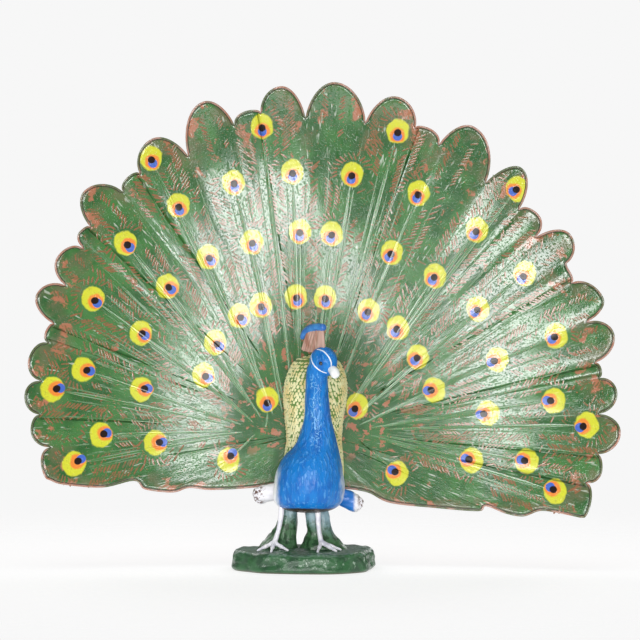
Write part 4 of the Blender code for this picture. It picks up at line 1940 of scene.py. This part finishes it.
@dataclass
class Body:
    """The bird's blue breast, neck and head."""

    head: Head = Head()
    seat: Seat = Seat()
    floor: float = 4.0
    breast: Table = (
        (8.6, 1.4, -1.6, 2.4, 3.2), (8.9, 1.3, -1.6, 4.4, 4.8), (9.6, 1.2, -1.8, 6.1, 6.6),
        (10.8, 1.1, -2.0, 7.35, 8.0), (12.4, 1.2, -2.0, 7.75, 8.8), (14.4, 1.4, -2.0, 7.7, 9.1),
        (17.4, 1.5, -1.7, 7.3, 9.3), (20.4, 2.0, -2.0, 6.3, 8.2), (22.6, 2.7, -2.7, 5.0, 6.3),
        (25.0, 3.1, -3.6, 4.0, 4.8), (28.8, 3.2, -4.4, 3.05, 3.5), (32.0, 3.15, -4.8, 2.7, 3.0),
        (34.8, 3.0, -5.2, 2.5, 2.8), (38.0, 3.0, -5.9, 2.4, 2.6), (40.5, 3.4, -6.8, 2.4, 2.7),
        (42.2, 3.9, -7.3, 1.6, 1.9),
    )

    def clear_of_train(self, piece: Piece) -> None:
        """Pushes a piece's points forward onto the bird's flat back.

        Args:
            piece: The piece.
        """
        places, _ = points_of(piece)
        places[:, 1] = np.minimum(places[:, 1], self.seat.plane(places[:, 2]))
        move_points(piece, places)

    def build(self) -> Piece:
        """Makes the blue skin with fine upright feather strokes.

        Returns:
            The piece.
        """
        trunk = loft(level_rings(self.breast, 90, 72, 1.0, self.floor))
        paint = BodyPaint(
            "bird_paint_blue", main=display(14, 122, 204), second=display(10, 102, 188),
            stretch=(1.0, 1.0, 0.35), patch_scale=0.55, roughness=0.4, coat=0.45,
            coat_roughness=0.12, specular=0.15, relief=0.11,
        )
        piece = fused("body", [trunk, self.head.egg()], 0.26, 8, paint)
        places, _ = points_of(piece)
        strokes = layered(places, ((1.3, 1.3, 0.28), 7.0, 0.1), ((0.45, 0.45, 0.16), 3.0, 0.16))
        calm = np.clip((42.5 - places[:, 2]) / 3.0, 0.15, 1.0)
        calm *= np.clip((places[:, 2] - 13.4) / 2.5, 0.08, 1.0)
        raise_points(piece, strokes * calm)
        self.clear_of_train(piece)
        places, normals = points_of(piece)
        # Marks the low skin that faces down, which the paint darkens: partly own colour, partly painted
        # shade.
        low = np.clip((16.5 - places[:, 2]) / 2.0, 0, 1)
        store(piece.data, "under", np.clip(-normals[:, 2] * 1.1, 0, 1) * low)
        return piece


@dataclass
class Face:
    """The bird's beak, eyes and the white lines round the eyes."""

    head: Head = Head()
    beak_path: Table = ((6.1, -9.3, 44.1), (6.7, -10.4, 43.6), (7.0, -11.1, 43.0), (7.3, -11.5, 42.4))
    beak_radius: float = 1.06
    eye_place: Pair = (3.85, 45.3)
    eye_radius: float = 0.48
    eye_depth: float = 0.2
    line_radius: float = 0.17
    line_depth: float = 0.06
    far_turn: float = 28.0
    upper_line: Table = (
        (3.0, 48.3), (3.7, 48.2), (4.6, 47.8), (5.6, 46.7), (6.1, 45.6), (6.1, 44.6),
    )
    lower_line: Table = (
        (2.4, 48.2), (1.85, 47.2), (1.8, 46.3), (2.2, 45.2), (3.1, 44.2), (4.2, 43.5), (5.2, 43.2),
    )

    def beak(self) -> Piece:
        """Makes the short white beak.

        Returns:
            The piece.
        """
        swell = swelling((0.85, 1.0, 0.96, 0.66), 26)
        swell[-3:] *= (0.97, 0.88, 0.66)
        white, shade = display(250, 252, 252), display(232, 236, 236)
        paint = MottledPaint("bird_paint_beak", main=white, second=shade, coat=0.6)
        return new_piece("beak", tube(catmull(self.beak_path, 26), self.beak_radius * swell, 28), paint)

    def both_sides(self, surface: BVHTree, seen: Sequence[Pair]) -> list[list[Array]]:
        """Finds places on the head's near side, and the same on its far side.

        Args:
            surface: The head's surface.
            seen: The near places, across and up.

        Returns:
            The near and the far places.
        """
        found = [seen_on(surface, x, z) for x, z in seen]
        near = [np.array(met[0]) for met in found if met is not None]
        far = replace(self.head, turn=self.far_turn)
        return [near, [far.mirrored(place) for place in near]]

    def eyes(self, surface: BVHTree) -> Piece:
        """Makes the two black eyes, half sunk in the head.

        Args:
            surface: The head's surface.

        Returns:
            The piece.
        """
        ball = oval((self.eye_radius,) * 3, 12, 20, 0.95)
        shapes = []
        for places in self.both_sides(surface, [self.eye_place]):
            shapes += [loft(ball + sunk_in(surface, place, self.eye_depth)) for place in places]
        paint = MottledPaint(
            "bird_paint_eyes", main=display(14, 16, 22), second=display(24, 26, 34),
            roughness=0.2, coat=1.0, coat_roughness=0.04, relief=0.005,
        )
        return new_piece("bird_eyes", join(shapes), paint)

    def lines(self, surface: BVHTree) -> Piece:
        """Makes the raised white lines round both eyes.

        Args:
            surface: The head's surface.

        Returns:
            The piece.
        """
        shapes = []
        for line in (self.upper_line, self.lower_line):
            for places in self.both_sides(surface, catmull(line, 22)):
                path = np.array([sunk_in(surface, place, self.line_depth) for place in places])
                taper = np.sin(np.linspace(0.35, math.pi - 0.35, len(path))) ** 0.4
                shapes.append(tube(path, self.line_radius * taper, 8))
        white, shade = display(244, 246, 250), display(214, 226, 240)
        paint = MottledPaint("bird_paint_lines", main=white, second=shade)
        return new_piece("eye_lines", join(shapes), paint)

    def build(self, body: Piece) -> list[Piece]:
        """Makes the face's pieces on the body's surface.

        Args:
            body: The body with its head.

        Returns:
            The pieces.
        """
        surface = surface_of(body)
        return [self.beak(), self.eyes(surface), self.lines(surface)]


@dataclass
class Crest:
    """The upright crest: a thin brown fan with a blue band along its top."""

    head: Head = Head(centre=(4.0, -7.4, 45.6), turn=53.0)
    thickness: float = 1.1
    back: float = -1.5
    band_radius: float = 0.8
    grooves: int = 7
    foot: Table = ((2.8, 47.2), (-2.0, 47.6), (-4.2, 47.8), (-5.5, 48.3))
    top: Table = ((2.4, 52.8), (0.2, 52.8), (-2.0, 52.4), (-4.2, 50.9))
    band: Table = ((2.7, 53.0), (0.2, 53.0), (-2.3, 52.7), (-4.3, 51.9), (-5.7, 50.4))

    def point(self, along: float, height: float, across: float) -> Point:
        """Gives a point of the crest, in line with the beak."""
        x, y = self.head.swing(along + self.back, across)
        return (self.head.centre[0] + x, self.head.centre[1] + y, height)

    def build(self) -> list[Piece]:
        """Makes the fan with its grooves, and the band.

        Returns:
            The two pieces.
        """
        count = 60
        foot, top = catmull(self.foot, count), catmull(self.top, count)
        share = np.linspace(0, 1, count)
        half = self.thickness / 2 * (1 - np.abs(2 * share - 1) ** 5) ** 0.5
        half = half * (1 + 0.14 * np.cos(2 * math.pi * self.grooves * share))
        rings = []
        for part in np.linspace(0, 1, 24):
            line = foot + (top - foot) * part
            front = [self.point(a, h, w) for (a, h), w in zip(line, half)]
            rear = [self.point(a, h, -w) for (a, h), w in zip(line[::-1], half[::-1])]
            rings.append(front + rear)
        tan = MottledPaint(
            "bird_paint_crest", main=display(196, 160, 146), second=display(160, 112, 94),
            stretch=(1.0, 1.0, 0.3), patch_scale=0.9, relief=0.06,
        )
        fan = new_piece("crest_fan", loft(rings), tan)
        path = np.array([self.point(a, h, 0.0) for a, h in catmull(self.band, 40)])
        swell = swelling((1.0, 1.15, 1.15, 1.0, 0.62), 40)
        swell[:3] *= (0.5, 0.8, 0.95)
        swell[-3:] *= (0.95, 0.8, 0.5)
        blue = MottledPaint(
            "bird_paint_band", main=display(28, 104, 186), second=display(60, 140, 214),
            roughness=0.28, coat=0.6, relief=0.06,
        )
        return [fan, new_piece("crest_band", tube(path, self.band_radius * swell, 24), blue)]


@dataclass
class BackFeathers:
    """The pale scaled feathers of the bird's back, behind its neck."""

    seat: Seat = Seat()
    floor: float = 4.0
    pitch: float = 1.02
    row_pitch: float = 0.72
    squareness: float = 0.87
    middle: float = 8.0
    seed: int = 7
    rows: Table = (
        (13.2, 2.2, 8.0, 6.6, 5.6), (17.0, 2.2, 8.0, 6.8, 7.6), (20.5, 2.3, 8.0, 6.5, 9.4),
        (24.5, 2.4, 8.0, 6.1, 10.4), (28.5, 2.4, 8.0, 6.4, 10.6), (33.0, 2.6, 8.0, 6.9, 10.6),
        (36.4, 2.8, 8.0, 6.8, 10.3), (39.2, 2.9, 8.0, 6.0, 9.0), (41.2, 2.9, 8.0, 4.8, 7.0),
        (42.0, 2.9, 8.0, 3.2, 4.8), (42.4, 2.9, 8.0, 1.2, 1.8),
    )

    def shield(self, body: Body) -> Piece:
        """Makes the smooth ground that the scales lie on.

        Args:
            body: The body, which knows the bird's flat back.

        Returns:
            The piece.
        """
        rings = level_rings(self.rows, 80, 96, self.squareness, self.floor)
        piece = new_piece("back_shield", loft(rings), ShieldPaint("bird_paint_back", relief=0.05))
        places, _ = points_of(piece)
        limit = self.seat.plane(places[:, 2]) - places[:, 1]
        store(piece.data, "border", np.clip(1.15 - limit / 2.2, 0, 1))
        body.clear_of_train(piece)
        return piece

    def scales(self, shield: Piece) -> Piece:
        """Makes the small yellow scales in staggered rows.

        Args:
            shield: The ground that they lie on.

        Returns:
            The scales as one piece.
        """
        surface = surface_of(shield)
        chance = np.random.default_rng(self.seed)
        places, leans, ups, sizes = [], [], [], []
        table = np.array(self.rows)
        turn = np.linspace(-math.pi - 0.8, 0.8, 400)
        oval_x = rounded(np.cos(turn), self.squareness)
        oval_y = rounded(np.sin(turn), self.squareness)
        heights = np.append(np.arange(15.0, 41.9, self.row_pitch), (42.1, 42.35))
        for k, height in enumerate(heights):
            centre, wide, deep = (np.interp(height, table[:, 0], table[:, c]) for c in (1, 3, 4))
            across, behind = centre + wide * oval_x, self.middle + deep * oval_y
            run = np.cumsum(np.hypot(np.diff(across), np.diff(behind)))
            z = self.floor + height
            for where in np.arange(0.5 * (k % 2), run[-1] / self.pitch) * self.pitch:
                x, y = np.interp(where, run, across[1:]), np.interp(where, run, behind[1:])
                if y > self.seat.plane(z) - 0.85 or chance.random() < 0.02:
                    continue
                x, high = x + chance.normal(0.0, 0.12), z + chance.normal(0.0, 0.1)
                near, normal, _, _ = surface.find_nearest(Vector((x, y, high)) * MM)
                down = Vector((chance.normal(0, 0.2), 0.0, -1.0))
                down -= normal * down.dot(normal)
                tip = (down.normalized() + normal * 0.22).normalized()
                places.append(near + normal * 0.05 * MM)
                leans.append(tip)
                ups.append((normal - tip * normal.dot(tip)).normalized())
                size = (1 + chance.normal(0, 0.2)) * MM
                sizes.append((0.42 * size, 0.38 * size, 0.12 * MM))
        points = carriers("scale_points", places, [], lean=leans, up=ups, size=sizes)
        paint = MottledPaint(
            "bird_paint_scales", main=display(246, 242, 194), second=display(242, 218, 150),
            patch_scale=0.3, amount=0.85,
        )
        return scatter_tree("scale_scatter", Bead.ROUND).grow("back_scales", points, paint)


@dataclass(frozen=True)
class Wing:
    """The tip of a lowered wing, below the train beside the thigh."""

    side: Side
    path: Table
    paint: FadedPaint
    floor: float = 4.0
    half_height: float = 1.95
    half_depth: float = 1.5

    def build(self) -> Piece:
        """Makes the wing tip with shallow feather grooves.

        Returns:
            The piece.
        """
        path = catmull(self.path, 40) + (0, 0, self.floor)
        swell = swelling((1.0, 1.0, 1.0, 0.55), 40)
        swell[-4:] *= (0.97, 0.9, 0.75, 0.5)
        shape = tube(path, self.half_height * swell, 48, self.half_depth / self.half_height)
        piece = new_piece(f"wing_{self.side.name.lower()}", shape, self.paint)
        places, _ = points_of(piece)
        outer = np.clip((np.abs(places[:, 0] - 1) - 6) / 4, 0, 1)
        grooves = roughness_at(places, (0.25, 1.0, 1.5), 5.0) * 0.16
        raise_points(piece, grooves + roughness_at(places, (1.2, 1.2, 1.2), 2.0) * 0.14 * outer)
        return piece


LEFT_WING = Wing(
    Side.LEFT,
    ((-3.0, 1.6, 13.1), (-7.4, 2.0, 12.5), (-9.6, 2.3, 11.9), (-10.9, 2.4, 11.5)),
    FadedPaint(
        "bird_paint_left_wing", start=-6.0, end=-4.5, high=display(214, 224, 240),
        speck_start=-7.6, speck_end=-9.2,
    ),
)
RIGHT_WING = Wing(
    Side.RIGHT,
    ((4.0, 1.4, 13.2), (8.8, 1.9, 11.5), (11.4, 2.2, 10.1), (12.8, 2.4, 9.2)),
    FadedPaint(
        "bird_paint_right_wing", start=11.2, end=12.0, low=display(34, 120, 208),
        speck_start=12.0, speck_end=13.0,
    ),
)


@dataclass
class Bird:
    """The bird with its base, which are one moulding."""

    base: Base = field(default_factory=Base)
    grass: Grass = field(default_factory=Grass)
    legs: Legs = field(default_factory=Legs)
    body: Body = field(default_factory=Body)
    face: Face = field(default_factory=Face)
    crest: Crest = field(default_factory=Crest)
    back: BackFeathers = field(default_factory=BackFeathers)
    wings: tuple[Wing, ...] = (LEFT_WING, RIGHT_WING)

    def build(self) -> None:
        """Makes the bird's pieces and dresses them."""
        body = self.body.build()
        shield = self.back.shield(self.body)
        pieces = [self.base.build(), self.grass.build(), self.legs.build(), body, shield]
        pieces += self.face.build(body) + self.crest.build()
        pieces.append(self.back.scales(shield))
        pieces += [wing.build() for wing in self.wings]
        for piece in pieces:
            dress(piece, Slot.BIRD, Node.BIRD)


# Studio


@dataclass(frozen=True)
class Softbox:
    """A large soft light, by where it stands as seen from the object."""

    name: str
    azimuth: float
    elevation: float
    distance: float
    width: float
    height: float
    radiance: float
    roll: float = 0.0

    def build(self, aim: Vector) -> None:
        """Makes the light.

        Args:
            aim: The place that it is turned towards, in millimetres.
        """
        turn, rise = math.radians(self.azimuth), math.radians(self.elevation)
        level = math.cos(rise)
        way = Vector((math.sin(turn) * level, -math.cos(turn) * level, math.sin(rise)))
        light = bpy.data.lights.new(self.name, "AREA")
        light.shape = "RECTANGLE"
        light.size, light.size_y = self.width * MM, self.height * MM
        light.energy = self.radiance * math.pi * light.size * light.size_y
        lamp = placed(self.name, light)
        lamp.visible_camera = False
        lamp.location = (aim + way * self.distance) * MM
        lamp.rotation_mode = "QUATERNION"
        roll = Quaternion((0.0, 0.0, 1.0), math.radians(self.roll))
        lamp.rotation_quaternion = way.to_track_quat("Z", "Y") @ roll


@dataclass
class Studio:
    """The pale floor, the soft light and the camera."""

    view: View = View()
    frame_width: float = 138.7
    lights_aim: Point = (2.0, 0.0, 50.0)
    floor_radius: float = 900.0
    floor_fade: Pair = (30.0, 190.0)
    backdrop: float = 0.93
    floor_glow: float = 0.72
    ambient: float = 0.2
    softboxes: tuple[Softbox, ...] = (
        Softbox("window_left", -25.5, 2.5, 1000.0, 205.0, 490.0, 10.0, -30.0),
        Softbox("window_right", 10.5, 7.5, 1000.0, 170.0, 300.0, 10.5),
        Softbox("window_right_low", 8.5, -7.6, 1000.0, 340.0, 225.0, 10.5),
        Softbox("window_middle", -5.5, 3.5, 1000.0, 150.0, 230.0, 8.5),
        Softbox("table", -4.0, -27.0, 900.0, 900.0, 160.0, 1.5),
        Softbox("overhead", 0.0, 78.0, 900.0, 700.0, 500.0, 1.6),
        Softbox("side_left", -80.0, 8.0, 900.0, 420.0, 420.0, 0.6),
        Softbox("side_right", 80.0, 8.0, 900.0, 420.0, 420.0, 1.1),
        Softbox("behind_left", -150.0, 30.0, 900.0, 500.0, 400.0, 3.0),
        Softbox("behind_right", 150.0, 30.0, 900.0, 500.0, 400.0, 3.0),
    )

    def floor(self) -> None:
        """Makes the floor: a pale disc that fades out into the backdrop."""
        builder = bmesh.new()
        bmesh.ops.create_circle(builder, cap_ends=True, segments=96, radius=self.floor_radius * MM)
        mesh = bpy.data.meshes.new("floor")
        builder.to_mesh(mesh)
        builder.free()
        material = bpy.data.materials.new("pale_floor")
        material.use_nodes = True
        graph = Graph(material.node_tree)
        shader = graph.nodes["Principled BSDF"]
        inputs = {
            "Base Color": (0.4, 0.4, 0.4, 1.0),
            "Roughness": 1.0,
            "Specular IOR Level": 0.0,
            "Emission Color": (1.0, 1.0, 1.0, 1.0),
            "Emission Strength": self.floor_glow,
        }
        graph.fill(shader, inputs)
        clear = graph.out("ShaderNodeBsdfTransparent")
        away = graph.vector("LENGTH", graph.place()).step(*self.floor_fade)
        inputs = {0: away, 1: Wire(graph, shader.outputs[0]), 2: clear}
        blend = graph.out("ShaderNodeMixShader", inputs)
        graph.fill(graph.nodes["Material Output"], {"Surface": blend})
        mesh.materials.append(material)
        placed("floor", mesh)

    def sky(self) -> None:
        """Sets the white surroundings, brighter behind than what they light with."""
        world = bpy.data.worlds.new("studio")
        world.use_nodes = True
        graph = Graph(world.node_tree)
        seen = graph.out("ShaderNodeLightPath", None, "Is Camera Ray")
        strength = seen.step(0.0, 1.0, self.ambient, self.backdrop)
        inputs = {"Color": (1.0, 1.0, 1.0, 1.0), "Strength": strength}
        graph.fill(graph.nodes["Background"], inputs)
        bpy.context.scene.world = world

    def camera(self) -> None:
        """Sets the camera at the photograph's angle."""
        lens = bpy.data.cameras.new("camera")
        lens.sensor_width = 36.0
        lens.lens = lens.sensor_width * self.view.distance / self.frame_width
        lens.clip_start, lens.clip_end = 0.02, 20.0
        rise = math.radians(self.view.elevation)
        back = Vector((0.0, -math.cos(rise), math.sin(rise)))
        camera = placed("camera", lens)
        camera.location = (Vector(self.view.aim) + back * self.view.distance) * MM
        camera.rotation_mode = "QUATERNION"
        camera.rotation_quaternion = back.to_track_quat("Z", "Y")
        bpy.context.scene.camera = camera

    def build(self) -> None:
        """Sets up the floor, the light and the camera."""
        self.floor()
        self.sky()
        for softbox in self.softboxes:
            softbox.build(Vector(self.lights_aim))
        self.camera()
        scene = bpy.context.scene
        scene.view_settings.view_transform = "Standard"
        scene.view_settings.look = "None"


def main() -> None:
    """Loads the frame, then builds and dresses every piece round it."""
    logging.basicConfig(level=logging.INFO, format="%(message)s")
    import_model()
    Studio().build()
    Train().build()
    Bird().build()
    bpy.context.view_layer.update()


if __name__ == "__main__":
    main()
